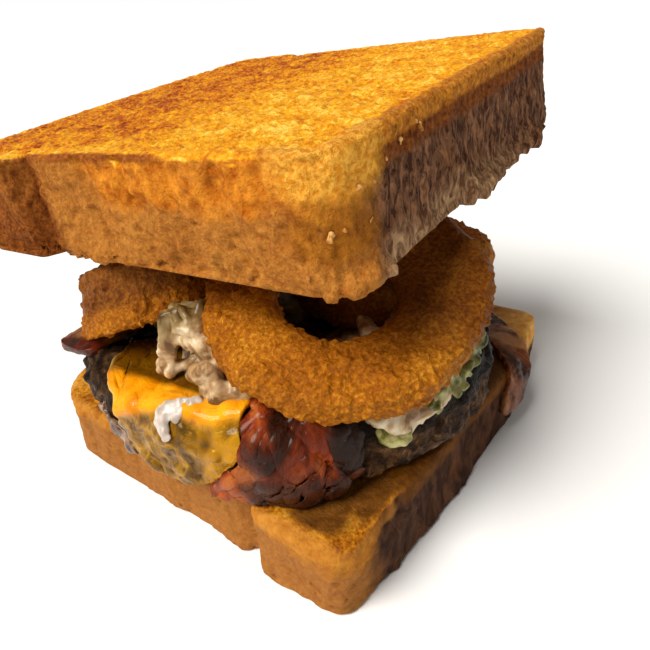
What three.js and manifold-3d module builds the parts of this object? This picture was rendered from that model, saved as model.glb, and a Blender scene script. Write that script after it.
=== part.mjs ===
// A hamburger between two thick slices of toasted white bread: patty, melted cheese, bacon,
// slaw and three fried onion rings, the top slice leaning on the rings.
// Millimetres, +Z up. The origin is on the underside of the bottom slice, at the loaf's middle.
import * as THREE from 'three';
import Module from 'manifold-3d';

const GAP = 0.5; // clear space between neighbours

// Bread: `square` runs from the loaf's base to the crease and `crown` from there to the top.
const LOAF = {
  width: 115, crownCorner: 6, crease: 2.8, creaseReach: 5, bulge: 3.5, dome: 3, dish: 0.8,
};
const BOTTOM_SLICE = { ...LOAF, thickness: 23, square: 92, crown: 34.5, corner: 14, seed: 1.3 };
const TOP_SLICE = { ...LOAF, thickness: 27, square: 90, crown: 35, corner: 10, seed: 4.1 };
const BOTTOM_CREASE_Y = -28;
const TOP_CREASE = { x: 3.6, y: 30.7, z: 78.6 };
const TOP_TURN = { x: -2.6, y: -3.9, z: 1.7 }; // degrees

const PATTY = {
  x: -2.2, y: -4.2, radius: 61.5, height: 20.5, rim: 7, foot: 5, lump: 1.1, swell: 2, swellAt: 126,
};
const PATTY_BASE = BOTTOM_SLICE.thickness + GAP;
// Cheese and front bacon are cut between two angles on the patty. `swerve` is how many degrees
// the cheese's left edge turns towards the front before it goes over the patty's rim.
const CHEESE = { thickness: 1.7, from: 152, to: 206.2, top: 15, reach: 74.6, hem: 2, swerve: 19 };
const FRONT_BACON = { thickness: 2.4, from: 207, to: 231.5, top: 13, reach: 74.4, bulge: 1 };
const SLANT = 9; // degrees that the edge between them leans to the left on its way down
const DRAPE_LIFT = 0.25; // what both stand off the patty beyond `GAP`

const LEFT_BACON = { width: 17, thickness: 2.4, ruffle: 0.7 };
const RIGHT_BACON = { width: 11, thickness: 2.2, ruffle: 0.4 };

// Each ring's section is `width` across the band and `height` along the ring's axis. The band
// is `broad` mm wider on the side at the angle `broadAt`, which takes room from its hole.
const FRONT_RING = {
  radius: 26, width: 18, height: 10.6, broad: 6, broadAt: -35,
  power: 2.6, crag: 0.7, seed: 0.4, around: 46, across: 12,
};
const BACK_RING = {
  radius: 25, width: 15, height: 14, broad: 0, broadAt: 0,
  power: 2.8, crag: 0.6, seed: 2.2, around: 36, across: 10,
};
const LEFT_RING = {
  radius: 15, width: 13, height: 14.5, broad: 0, broadAt: 0,
  power: 3.4, crag: 0.6, seed: 5.7, around: 32, across: 10,
};
const FRONT_RING_AT = { x: -20.2, y: -36.4, z: 63.4 };
const FRONT_RING_LEAN = { x: 11.8, y: -19.6 }; // degrees
const BACK_RING_AT = { x: 20, y: -22, z: 52 };
const LEFT_RING_AT = { x: -32.5, y: 20, z: 62.3 };
const LEFT_RING_LEAN = { x: -20, y: 3 }; // degrees

// The slaw is one heap of three mounds on the patty.
const MOUNDS = [
  { x: 4, y: 16, reachX: 42, reachY: 36, rise: 27, pieces: 17 },
  { x: -41, y: -9, reachX: 12, reachY: 19, rise: 18, pieces: 9 },
  { x: -20, y: -39, reachX: 26, reachY: 19.5, rise: 8, pieces: 7 },
];
const SHRED = { length: 20, width: 3.2, thickness: 1.8 };
const CHUNK = { least: 2.6, most: 5 };

const COLOURS = {
  toast: '#c98a45',
  patty: '#4a372a',
  cheese: '#eba117',
  bacon: '#7a2f18',
  slaw: '#cdb892',
  onionRing: '#c47f26',
};

const TURN = 2 * Math.PI;
const GOLDEN_ANGLE = Math.PI * (3 - Math.sqrt(5));
const radians = THREE.MathUtils.degToRad;
const mix = THREE.MathUtils.lerp;

// Smooth unevenness between -1 and 1 that repeats about every `size` mm.
function ripple(point, size, seed) {
  const k = TURN / size;
  const a = Math.sin(k * (point.x + 0.7 * point.y) + seed);
  const b = Math.sin(k * (point.y - 0.6 * point.z) + 2.1 * seed);
  const c = Math.sin(k * (point.z + 0.5 * point.x - 0.4 * point.y) + 3.7 * seed);
  return (a + b + c) / 3;
}

// Repeatable random numbers from 0 to 1.
function randomFrom(seed) {
  let state = seed;
  return () => {
    state = (state * 48271) % 2147483647;
    return state / 2147483647;
  };
}

function geometryOf(points, faces) {
  const geometry = new THREE.BufferGeometry().setFromPoints(points);
  geometry.setIndex(faces);
  geometry.computeVertexNormals();
  return geometry;
}

// Triangles of a grid of points kept row after row, each row `columns` long.
function gridFaces(rows, columns, closeRows, closeColumns) {
  const faces = [];
  for (let i = 0; i < (closeRows ? rows : rows - 1); i++) {
    for (let j = 0; j < (closeColumns ? columns : columns - 1); j++) {
      const nextRow = ((i + 1) % rows) * columns;
      const nextColumn = (j + 1) % columns;
      const here = i * columns + j;
      const beside = i * columns + nextColumn;
      faces.push(here, beside, nextRow + nextColumn, here, nextRow + nextColumn, nextRow + j);
    }
  }
  return faces;
}

// A closed skin through loops of equal length, with the first and last loop capped.
function skin(loops) {
  const count = loops[0].length;
  const points = loops.flat();
  const faces = gridFaces(loops.length, count, false, true);
  const last = points.length - count;
  const floor = points.length;
  points.push(middle(loops[0]), middle(loops.at(-1)));
  for (let j = 0; j < count; j++) {
    const next = (j + 1) % count;
    faces.push(floor, next, j, floor + 1, last + j, last + next);
  }
  return geometryOf(points, faces);
}

function middle(loop) {
  const sum = loop.reduce((total, point) => total.add(point), new THREE.Vector3());
  return sum.divideScalar(loop.length);
}

// A thin solid between two faces: rows of { outer, inner } points, both faces split alike.
function sheet(rows) {
  const height = rows.length;
  const width = rows[0].length;
  const cells = rows.flat();
  const count = cells.length;
  const points = [...cells.map((cell) => cell.outer), ...cells.map((cell) => cell.inner)];
  const outer = gridFaces(height, width, false, false);
  const faces = [...outer];
  for (let k = 0; k < outer.length; k += 3) {
    faces.push(outer[k] + count, outer[k + 2] + count, outer[k + 1] + count);
  }
  const edge = [];
  for (let j = 0; j < width - 1; j++) edge.push(j);
  for (let i = 0; i < height - 1; i++) edge.push(i * width + width - 1);
  for (let j = width - 1; j > 0; j--) edge.push((height - 1) * width + j);
  for (let i = height - 1; i > 0; i--) edge.push(i * width);
  edge.forEach((here, k) => {
    const next = edge[(k + 1) % edge.length];
    faces.push(here, here + count, next, next, here + count, next + count);
  });
  return geometryOf(points, faces);
}

// The loaf's outline, with the crease on y = 0, the base below it and the crown above.
function sliceOutline(slice, count) {
  const { width, square, crown, corner, crownCorner, crease, creaseReach, bulge, dome } = slice;
  const shoulder = crown - dome;
  const half = width / 2;
  const wide = half + bulge;
  const shape = new THREE.Shape();
  shape.moveTo(0, -square);
  shape.lineTo(half - corner, -square);
  shape.absarc(half - corner, -square + corner, corner, -TURN / 4, 0);
  shape.lineTo(half, -creaseReach);
  shape.quadraticCurveTo(half, 0, half - crease, 0);
  shape.quadraticCurveTo(wide, 0, wide, creaseReach + 2);
  shape.lineTo(wide, shoulder - crownCorner);
  shape.absarc(wide - crownCorner, shoulder - crownCorner, crownCorner, 0, TURN / 4);
  shape.quadraticCurveTo(0, crown + dome, crownCorner - wide, shoulder);
  shape.absarc(crownCorner - wide, shoulder - crownCorner, crownCorner, TURN / 4, TURN / 2);
  shape.lineTo(-wide, creaseReach + 2);
  shape.quadraticCurveTo(-wide, 0, crease - half, 0);
  shape.quadraticCurveTo(-half, 0, -half, -creaseReach);
  shape.lineTo(-half, -square + corner);
  shape.absarc(corner - half, -square + corner, corner, TURN / 2, (3 * TURN) / 4);
  shape.lineTo(0, -square);
  return shape.getSpacedPoints(count).slice(0, count);
}

// A slice lying on its cut face: rounded rims, uneven walls and a slightly dished upper face.
function breadSlice(slice) {
  const outline = sliceOutline(slice, 72);
  const heart = new THREE.Vector2(0, (slice.crown - slice.square) / 2);
  const top = slice.thickness;
  const steps = [
    { inset: 22, z: 0 },
    { inset: 2.2, z: 0 },
    { inset: 0.5, z: 1.4 },
    { inset: 0, z: 0.3 * top, lump: 0.6 },
    { inset: 0, z: 0.7 * top, lump: 0.6 },
    { inset: 0.3, z: top - 1.6 },
    { inset: 1.8, z: top },
    { inset: 6, z: top - 0.4, lump: 0.25 },
    { inset: 24, z: top - slice.dish, lump: 0.4 },
  ];
  const loops = steps.map(({ inset, z, lump = 0 }) => outline.map((point) => {
    const away = point.clone().sub(heart);
    const reach = away.length();
    const flat = away.multiplyScalar((reach - inset) / reach).add(heart);
    const place = new THREE.Vector3(flat.x, flat.y, z);
    const rise = lump * ripple(place, 21, slice.seed);
    if (z > top - 1.5) return place.setZ(z + rise);
    const out = 1 + rise / reach;
    return place.set(heart.x + (flat.x - heart.x) * out, heart.y + (flat.y - heart.y) * out, z);
  }));
  return skin(loops);
}

// The patty's half section from the middle of its top to the middle of its underside.
function pattySection() {
  const { radius, height, rim, foot } = PATTY;
  const path = new THREE.Path();
  path.moveTo(0, height);
  path.lineTo(radius - rim, height - 0.8);
  path.bezierCurveTo(radius - 2, height - 1, radius, height - 3, radius, height - rim - 1);
  path.lineTo(radius - 0.6, foot);
  path.bezierCurveTo(radius - 1, 1, radius - 2, 0, radius - foot, 0);
  path.lineTo(0, 0);
  return path;
}

const PATTY_PATH = pattySection();
const PATTY_ARC = PATTY_PATH.getLength();

// A point of the patty's skin at an angle, `arc` mm from the middle of its top.
function pattySkin(angle, arc) {
  const { x: reach, y: z } = PATTY_PATH.getPointAt(Math.min(arc / PATTY_ARC, 1));
  const flat = new THREE.Vector3(reach * Math.cos(angle), reach * Math.sin(angle), z);
  const swell = PATTY.swell * Math.max(0, Math.cos(angle - radians(PATTY.swellAt))) ** 6;
  const oval = 1 + 0.012 * Math.sin(3 * angle + 0.8) + 0.01 * Math.sin(7 * angle) + swell / PATTY.radius;
  const lump = PATTY.lump * ripple(flat, 23, 1.7) * Math.min(reach / 30, 1);
  const nearRim = THREE.MathUtils.smoothstep(reach, PATTY.radius - 14, PATTY.radius - 3);
  const out = reach > 0 ? oval + (nearRim * lump) / reach : 1;
  const bump = z > PATTY.height / 2 ? 0.6 * (1 - nearRim) * lump : 0;
  return new THREE.Vector3(flat.x * out, flat.y * out, z + bump);
}

// The same skin moved out by `offset` along its normal.
function offPatty(angle, arc, offset) {
  const step = 0.02;
  const point = pattySkin(angle, arc);
  const around = pattySkin(angle + step, arc).sub(pattySkin(angle - step, arc));
  const down = pattySkin(angle, arc + 0.5).sub(pattySkin(angle, arc - 0.5));
  return point.addScaledVector(down.cross(around).normalize(), offset);
}

function pattyGeometry(grow = 0, around = 54) {
  const arcs = [18, 38, 49, 55, 59, 62, 65, 69, 73, 76, 79, 84];
  const loops = arcs.map((arc) => Array.from({ length: around }, (_, j) => (
    offPatty((TURN * j) / around, arc, grow)
  )));
  loops.reverse();
  for (const point of loops[0]) point.z = -grow;
  return skin(loops);
}

// A sheet laid over the patty between two angles, its hem hanging unevenly down the side.
function draped({ thickness, from, to, top, hang, lift, lean, rows, columns }, grow = 0) {
  const grid = [];
  for (let i = 0; i < rows; i++) {
    const across = i / (rows - 1);
    const angle = radians(mix(from, to, across)) + ((2 * across - 1) * grow) / PATTY.radius;
    const row = [];
    for (let j = 0; j < columns; j++) {
      const along = j / (columns - 1);
      const arc = mix(PATTY.radius - top - grow, hang(across) + grow, along);
      const sway = angle + radians(1.2 * Math.sin(arc / 4) + lean(across, arc));
      const base = GAP + lift(across, along);
      row.push({
        outer: offPatty(sway, arc, base + thickness + grow),
        inner: offPatty(sway, arc, base - grow),
      });
    }
    grid.push(row);
  }
  return sheet(grid);
}

// How far the edge between cheese and bacon has leaned at `arc` mm from the patty's middle.
function slantAt(arc) {
  return -SLANT * THREE.MathUtils.smoothstep(arc, PATTY.radius - 10, PATTY.radius + 14);
}

function cheeseGeometry(grow = 0) {
  const { thickness, from, to, top, reach, hem, swerve } = CHEESE;
  const hang = (across) => {
    const wave = Math.sin(TURN * (1.2 * across + 0.1)) + 0.5 * Math.sin(TURN * 2.7 * across);
    return reach - hem * (1 - Math.sin(Math.PI * Math.min(1, 1.4 * across))) + wave;
  };
  const lift = () => DRAPE_LIFT;
  const lean = (across, arc) => {
    const turned = swerve * THREE.MathUtils.smoothstep(arc, PATTY.radius - 12, PATTY.radius + 1);
    return mix(turned, slantAt(arc), across);
  };
  return draped({ thickness, from, to, top, hang, lift, lean, rows: 16, columns: 11 }, grow);
}

function frontBaconGeometry(grow = 0) {
  const { thickness, from, to, top, reach, bulge } = FRONT_BACON;
  const hang = (across) => reach + 1.5 * Math.sin(TURN * 1.4 * across + 1);
  const lift = (across, along) => {
    const fold = Math.sin(TURN * (0.9 * along + 0.55 * across)) * Math.sin(Math.PI * across);
    return DRAPE_LIFT + bulge * (1 + fold) * THREE.MathUtils.smoothstep(along, 0.45, 0.7);
  };
  const lean = (across, arc) => slantAt(arc) * (1 - across);
  return draped({ thickness, from, to, top, hang, lift, lean, rows: 13, columns: 12 }, grow);
}

// A ribbon along a curve. `across` is the way its width runs, to the right of the travel.
function ribbon(strip, grow = 0) {
  const { curve, across, width, thickness, ruffle, waves, taper, rows, columns } = strip;
  const side = across.clone().normalize();
  const grid = [];
  for (let i = 0; i < rows; i++) {
    const along = i / (rows - 1);
    const tangent = curve.getTangentAt(along);
    const centre = curve.getPointAt(along).addScaledVector(tangent, (2 * along - 1) * grow);
    const normal = side.clone().cross(tangent).normalize();
    const narrow = 1 - taper * (2 * along - 1) ** 4;
    const row = [];
    for (let j = 0; j < columns; j++) {
      const over = j / (columns - 1) - 0.5;
      const wave = ruffle * Math.sin(TURN * waves * along + 4 * over);
      const wander = 0.06 * width * Math.sin(TURN * 1.7 * along + 1);
      const sideways = over * (width * narrow + 2 * grow) + wander;
      const place = centre.clone().addScaledVector(side, sideways);
      row.push({
        outer: place.clone().addScaledVector(normal, wave + thickness / 2 + grow),
        inner: place.clone().addScaledVector(normal, wave - thickness / 2 - grow),
      });
    }
    grid.push(row);
  }
  return sheet(grid);
}

const vectors = (list) => list.map(([x, y, z]) => new THREE.Vector3(x, y, z));

// The rasher under the left ring lies on the patty and sticks out past its rim.
function leftBaconGeometry(grow = 0) {
  const level = PATTY_BASE + PATTY.height + GAP + LEFT_BACON.thickness / 2 + 0.4;
  const curve = new THREE.CatmullRomCurve3(vectors([
    [-58.5, 32, level + 0.3],
    [-48, 33, level + 0.5],
    [-32, 34, level + 0.2],
    [-14, 33, level + 0.2],
    [0, 30, level],
  ]));
  const across = new THREE.Vector3(0.05, -1, 0.06);
  return ribbon({ ...LEFT_BACON, curve, across, waves: 1.6, taper: 0.25, rows: 16, columns: 6 }, grow);
}

// The rasher at the right leaves the patty's foot and hangs over the crown edge of the bread.
function rightBaconGeometry(grow = 0) {
  const level = BOTTOM_SLICE.thickness + GAP + RIGHT_BACON.thickness / 2 + 0.85;
  const face = BOTTOM_CREASE_Y - BOTTOM_SLICE.crown - RIGHT_BACON.thickness / 2 - 1.2;
  const curve = new THREE.CatmullRomCurve3(vectors([
    [56.2, -35.6, level + 0.2],
    [49.8, -45.3, level],
    [42.6, -53, level + 0.1],
    [37.4, -57.9, level],
    [33.8, face + 1.1, level - 2.2],
    [30.8, face - 0.1, level - 7.5],
    [27.8, face - 0.3, level - 13],
    [25.3, face, level - 17],
  ]));
  const across = new THREE.Vector3(-0.9, 0.2, 0);
  return ribbon({ ...RIGHT_BACON, curve, across, waves: 1.3, taper: 0.15, rows: 18, columns: 5 }, grow);
}

// A battered ring, its section rounder than a box and its skin craggy with coarse crumbs.
function onionRing(ring, grow = 0) {
  const { radius, width, height, broad, broadAt, power, crag, seed, around, across } = ring;
  const points = [];
  for (let i = 0; i < around; i++) {
    const turn = (TURN * i) / around;
    const extra = broad * Math.max(0, Math.cos(turn - radians(broadAt))) ** 2;
    const oval = 1 + 0.025 * Math.sin(2 * turn + seed) + 0.02 * Math.sin(5 * turn - seed);
    const mean = radius * oval - extra / 2;
    for (let j = 0; j < across; j++) {
      const tilt = (-TURN * j) / across;
      const cos = Math.cos(tilt);
      const sin = Math.sin(tilt);
      const spot = new THREE.Vector3(mean * Math.cos(turn), mean * Math.sin(turn), 6 * tilt);
      const rough = grow + crag * ripple(spot, 8.5, seed) + 0.5 * crag * ripple(spot, 19, seed + 2);
      const out = Math.sign(cos) * Math.abs(cos) ** (2 / power) * ((width + extra) / 2 + rough);
      const up = Math.sign(sin) * Math.abs(sin) ** (2 / power) * (height / 2 + rough);
      const reach = mean + out;
      points.push(new THREE.Vector3(reach * Math.cos(turn), reach * Math.sin(turn), up));
    }
  }
  return geometryOf(points, gridFaces(around, across, true, true));
}

const wasm = await Module();
wasm.setup();

function toSolid(geometry, matrix) {
  const placed = geometry.clone().applyMatrix4(matrix);
  return new wasm.Manifold(new wasm.Mesh({
    numProp: 3,
    vertProperties: Float32Array.from(placed.getAttribute('position').array),
    triVerts: Uint32Array.from(placed.getIndex().array),
  }));
}

function fromSolid(solid) {
  const { vertProperties, triVerts } = solid.getMesh();
  const geometry = new THREE.BufferGeometry();
  geometry.setAttribute('position', new THREE.BufferAttribute(vertProperties, 3));
  geometry.setIndex(new THREE.BufferAttribute(triVerts, 1));
  geometry.computeVertexNormals();
  return geometry;
}

// The height of a mound above the patty at a place on it.
function moundHeight({ x, y, reachX, reachY, rise }, place) {
  const out = Math.hypot((place.x - x) / reachX, (place.y - y) / reachY);
  const lump = 1.2 * ripple(place, 24, 0.9) * Math.max(0, 1 - out);
  return Math.max(0, 1 - out ** 3.2) * rise + lump;
}

function moundGeometry(mound, base) {
  const around = 22;
  const shares = [1, 0.95, 0.85, 0.65, 0.35];
  const loops = shares.map((share) => Array.from({ length: around }, (_, j) => {
    const turn = (TURN * j) / around;
    const x = mound.x + share * mound.reachX * Math.cos(turn);
    const y = mound.y + share * mound.reachY * Math.sin(turn);
    const place = new THREE.Vector3(x, y, 0);
    return place.setZ(base + 2 + moundHeight(mound, place));
  }));
  loops.unshift(loops[0].map((point) => point.clone().setZ(base)));
  return skin(loops);
}

// A shred of cabbage: a short bowed strip.
function shred(length, width, thickness, bow) {
  const curve = new THREE.QuadraticBezierCurve3(
    new THREE.Vector3(-length / 2, 0, -bow),
    new THREE.Vector3(0, bow / 2, bow),
    new THREE.Vector3(length / 2, 0, -bow),
  );
  const across = new THREE.Vector3(0, -1, 0);
  const flat = { ruffle: 0, waves: 0, taper: 0.35 };
  return ribbon({ ...flat, curve, across, width, thickness, rows: 4, columns: 2 });
}

function chunk(size, random) {
  const geometry = new THREE.IcosahedronGeometry(size, 0);
  const position = geometry.getAttribute('position');
  const points = [];
  const faces = [];
  for (let k = 0; k < position.count; k++) {
    const point = new THREE.Vector3().fromBufferAttribute(position, k);
    let index = points.findIndex((other) => other.distanceTo(point) < 1e-4);
    if (index < 0) index = points.push(point) - 1;
    faces.push(index);
  }
  for (const point of points) point.multiply(new THREE.Vector3(1, 0.8, 0.6 + 0.2 * random()));
  return geometryOf(points, faces);
}

// The showing pieces: strips and lumps lying on a mound, spread by the golden angle.
function piecesOn(mound, base, random) {
  return Array.from({ length: mound.pieces }, (_, k) => {
    const turn = k * GOLDEN_ANGLE;
    const share = Math.sqrt((k + 0.5) / mound.pieces);
    const x = mound.x + share * mound.reachX * Math.cos(turn);
    const y = mound.y + share * mound.reachY * Math.sin(turn);
    const place = new THREE.Vector3(x, y, 0);
    place.setZ(base + 2.6 + moundHeight(mound, place));
    const size = mix(CHUNK.least, CHUNK.most, random());
    const length = SHRED.length * mix(0.7, 1.2, random());
    const bow = 1 + random();
    const body = k % 3 === 2 ? chunk(size, random) : shred(length, SHRED.width, SHRED.thickness, bow);
    const tip = 0.4 * (random() - 0.5);
    const tumble = new THREE.Euler(tip, 0.5 * share * (random() - 0.5), TURN * random());
    return toSolid(body, new THREE.Matrix4().makeRotationFromEuler(tumble).setPosition(place));
  });
}

// Strips that hang out of the heap in front: [x, y, z, length, turn, pitch] in mm and degrees.
const HANGING = [
  [-48.5, 2, 53, 13, 20, 78],
  [-46, -6, 57, 16, 60, 12],
  [-43, 6, 60, 16, -35, 20],
  [-48.5, -14, 53, 15, 75, -15],
  [-50.5, -20, 49.5, 14, 95, 25],
  [-30, -58, 43.5, 13, 60, 35],
  [-33, -62, 40.5, 12, 150, 20],
  [-12, -60, 46, 13, 170, 8],
  [-5, -61, 46, 11, 20, -10],
];

const HANGING_LUMPS = [
  [-51, -4, 49, 4],
  [-52.5, -21, 49, 4.2],
  [-51, -27, 48.5, 4],
  [-47, -11, 60, 4.4],
  [-50, -16, 54, 4],
  [-25, -51, 47, 4.6],
  [-28.5, -56, 45.5, 4.2],
  [-31.5, -61, 41.8, 4.2],
  [-36, -60.5, 40.5, 3.8],
  [-27, -62.5, 41, 3.8],
  [-14, -57, 47, 4.2],
];

function hangingPieces() {
  const random = randomFrom(331);
  const strips = HANGING.map(([x, y, z, length, turn, pitch]) => {
    const euler = new THREE.Euler(0, radians(pitch), radians(turn), 'ZYX');
    const matrix = new THREE.Matrix4().makeRotationFromEuler(euler).setPosition(x, y, z);
    return toSolid(shred(length, SHRED.width + 0.6, SHRED.thickness, 1.4), matrix);
  });
  const lumps = HANGING_LUMPS.map(([x, y, z, size]) => (
    toSolid(chunk(size, random), new THREE.Matrix4().makeTranslation(x, y, z))
  ));
  return [...strips, ...lumps];
}

// The largest closed body of a solid, without loose scraps.
function mainBody(solid) {
  const bodies = solid.decompose();
  return bodies.reduce((best, body) => (body.volume() > best.volume() ? body : best));
}

// The heap of slaw, cut back to `GAP` from everything that it touches.
function slawGeometry(keepClear) {
  const base = PATTY_BASE + PATTY.height + PATTY.lump + GAP / 2;
  const random = randomFrom(2417);
  const mounds = MOUNDS.map((mound) => toSolid(moundGeometry(mound, base), new THREE.Matrix4()));
  const pieces = MOUNDS.flatMap((mound) => piecesOn(mound, base, random));
  const heap = wasm.Manifold.union([...mounds, ...pieces, ...hangingPieces()]);
  const cut = wasm.Manifold.difference([heap, ...keepClear]);
  return fromSolid(mainBody(cut));
}

function finish(colour, roughness) {
  return new THREE.MeshStandardMaterial({ color: colour, roughness, metalness: 0 });
}

const MATERIALS = {
  toast: finish(COLOURS.toast, 0.75),
  patty: finish(COLOURS.patty, 0.55),
  cheese: finish(COLOURS.cheese, 0.3),
  bacon: finish(COLOURS.bacon, 0.35),
  slaw: finish(COLOURS.slaw, 0.4),
  onionRing: finish(COLOURS.onionRing, 0.7),
};

function piece(name, geometry, material) {
  const mesh = new THREE.Mesh(geometry, material);
  mesh.name = name;
  return mesh;
}

const hamburger = new THREE.Group();

const bottomSlice = piece('bread_bottom', breadSlice(BOTTOM_SLICE), MATERIALS.toast);
bottomSlice.rotation.z = Math.PI;
bottomSlice.position.y = BOTTOM_CREASE_Y;

const topSlice = piece('bread_top', breadSlice(TOP_SLICE), MATERIALS.toast);
topSlice.position.set(TOP_CREASE.x, TOP_CREASE.y, TOP_CREASE.z);
topSlice.rotation.set(radians(TOP_TURN.x), radians(TOP_TURN.y), radians(TOP_TURN.z));

const pattyStack = new THREE.Group();
pattyStack.position.set(PATTY.x, PATTY.y, PATTY_BASE);
const patty = piece('patty', pattyGeometry(), MATERIALS.patty);
const cheese = piece('cheese', cheeseGeometry(), MATERIALS.cheese);
const frontBacon = piece('bacon_front', frontBaconGeometry(), MATERIALS.bacon);
pattyStack.add(patty, cheese, frontBacon);

const leftBacon = piece('bacon_left', leftBaconGeometry(), MATERIALS.bacon);
const rightBacon = piece('bacon_right', rightBaconGeometry(), MATERIALS.bacon);

function placedRing(name, ring, at, lean = { x: 0, y: 0 }) {
  const mesh = piece(name, onionRing(ring), MATERIALS.onionRing);
  const axis = new THREE.Vector3(radians(lean.x), radians(lean.y), 0);
  const angle = axis.length();
  if (angle > 0) mesh.quaternion.setFromAxisAngle(axis.normalize(), angle);
  mesh.position.set(at.x, at.y, at.z);
  return mesh;
}

const frontRing = placedRing('ring_front', FRONT_RING, FRONT_RING_AT, FRONT_RING_LEAN);
const backRing = placedRing('ring_back', BACK_RING, BACK_RING_AT);
const leftRing = placedRing('ring_left', LEFT_RING, LEFT_RING_AT, LEFT_RING_LEAN);

hamburger.add(bottomSlice, pattyStack, leftBacon, rightBacon, frontRing, backRing, leftRing, topSlice);
hamburger.updateMatrixWorld(true);

// What the slaw keeps clear of, made with fewer sides and a little larger.
const ROOM = GAP + 0.4;
const RING_ROOM = GAP + 0.8;
const coarse = (ring) => ({ ...ring, around: 32, across: 10 });
const underTopSlice = new THREE.Matrix4().makeTranslation(0, 0, -GAP).multiply(topSlice.matrixWorld);
const slaw = piece('slaw', slawGeometry([
  toSolid(pattyGeometry(ROOM, 36), patty.matrixWorld),
  toSolid(cheeseGeometry(ROOM), cheese.matrixWorld),
  toSolid(frontBaconGeometry(ROOM), frontBacon.matrixWorld),
  toSolid(leftBaconGeometry(ROOM), leftBacon.matrixWorld),
  toSolid(onionRing(coarse(FRONT_RING), RING_ROOM), frontRing.matrixWorld),
  toSolid(onionRing(coarse(BACK_RING), RING_ROOM), backRing.matrixWorld),
  toSolid(onionRing(coarse(LEFT_RING), RING_ROOM), leftRing.matrixWorld),
  toSolid(topSlice.geometry, underTopSlice),
]), MATERIALS.slaw);
hamburger.add(slaw);

export default hamburger;
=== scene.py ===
import math
import random
import bmesh
import bpy
import numpy as np
from functools import partial
from mathutils import Euler, Matrix, Vector
from mathutils.kdtree import KDTree


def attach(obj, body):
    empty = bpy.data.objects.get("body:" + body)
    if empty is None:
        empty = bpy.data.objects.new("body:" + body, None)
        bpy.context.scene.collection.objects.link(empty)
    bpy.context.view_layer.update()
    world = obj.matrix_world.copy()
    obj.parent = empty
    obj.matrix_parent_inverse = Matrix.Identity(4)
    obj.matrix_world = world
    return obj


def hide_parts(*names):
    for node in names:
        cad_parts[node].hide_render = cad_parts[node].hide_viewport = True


# A hamburger on thick toast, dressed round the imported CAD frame. Sizes are in millimetres and
# become metres with mm. The camera looks at the near corner from 29 degrees above.
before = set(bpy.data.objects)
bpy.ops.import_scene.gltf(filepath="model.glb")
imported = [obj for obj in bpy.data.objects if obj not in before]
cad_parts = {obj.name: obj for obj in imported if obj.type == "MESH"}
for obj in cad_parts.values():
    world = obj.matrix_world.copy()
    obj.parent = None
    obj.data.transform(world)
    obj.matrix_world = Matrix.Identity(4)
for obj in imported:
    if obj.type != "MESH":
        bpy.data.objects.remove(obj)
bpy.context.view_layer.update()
mm = 0.001
print("frame loaded:", len(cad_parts), "nodes")


def deselectAll():
    bpy.ops.object.select_all(action="DESELECT")


def pickOnly(piece):
    deselectAll()
    piece.select_set(True)
    bpy.context.view_layer.objects.active = piece


def startPiece(name):
    # the primitive just added, with its place taken into the mesh
    piece = bpy.context.object
    piece.name = name
    piece.data.name = name
    bpy.ops.object.transform_apply(location=True, rotation=True, scale=True)
    return piece


def ball(name, steps):
    # a small round kind to be copied, 1 mm in radius
    deselectAll()
    bpy.ops.mesh.primitive_ico_sphere_add(subdivisions=steps, radius=1 * mm)
    return startPiece(name)


def editMode(piece):
    pickOnly(piece)
    bpy.ops.object.mode_set(mode="EDIT")


def objectMode():
    bpy.ops.object.mode_set(mode="OBJECT")


def pick(kind, test):
    # in edit mode, selects only the vertices, edges or faces that pass the test
    bpy.ops.mesh.select_mode(type=kind)
    bpy.ops.mesh.select_all(action="DESELECT")
    mesh = bmesh.from_edit_mesh(bpy.context.object.data)
    for part in {"VERT": mesh.verts, "EDGE": mesh.edges, "FACE": mesh.faces}[kind]:
        if test(part):
            part.select_set(True)
    mesh.select_flush_mode()
    bmesh.update_edit_mesh(bpy.context.object.data)


def roundEdges(test, size, steps):
    # in edit mode, bevels the edges that pass the test
    pick("EDGE", test)
    bpy.ops.mesh.bevel(offset=size * mm, segments=steps, affect="EDGES")


def pull(piece, test, move, reach):
    # drags the vertices that pass the test, with their neighbours easing along
    editMode(piece)
    pick("VERT", test)
    bpy.ops.transform.translate(value=Vector(move) * mm, use_proportional_edit=True,
                                proportional_edit_falloff="SMOOTH", proportional_size=reach * mm)
    objectMode()


def modify(piece, kind, **settings):
    pickOnly(piece)
    modifier = piece.modifiers.new(kind.title(), kind)
    for key, value in settings.items():
        setattr(modifier, key, value)
    bpy.ops.object.modifier_apply(modifier=modifier.name)


def roughen(piece, size, depth, group="", detail=1, mid=0.5, contrast=1):
    # pushes the skin in and out by a cloud of lumps, size and depth in mm
    texture = bpy.data.textures.new(f"{piece.name} {size}", "CLOUDS")
    texture.noise_scale = size * mm
    texture.noise_depth = detail
    texture.contrast = contrast
    modify(piece, "DISPLACE", texture=texture, strength=depth * mm, mid_level=mid,
           vertex_group=group, texture_coords="LOCAL")


def lift(piece, height, group):
    modify(piece, "DISPLACE", strength=height * mm, mid_level=0, vertex_group=group)


def relax(piece, times):
    modify(piece, "SMOOTH", factor=0.5, iterations=times)


def remesh(piece, size):
    modify(piece, "REMESH", mode="VOXEL", voxel_size=size * mm)


def thicken(piece, thickness, offset, **settings):
    modify(piece, "SOLIDIFY", thickness=thickness * mm, offset=offset, **settings)


def placesOf(piece):
    # the places of all vertices, in mm
    places = np.empty(len(piece.data.vertices) * 3)
    piece.data.vertices.foreach_get("co", places)
    return places.reshape(-1, 3) / mm


def normalsOf(piece):
    normals = np.empty(len(piece.data.vertices) * 3)
    piece.data.vertex_normals.foreach_get("vector", normals)
    return normals.reshape(-1, 3)


def moveSkin(piece, places):
    piece.data.vertices.foreach_set("co", (np.asarray(places) * mm).ravel())
    piece.data.update()


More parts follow.
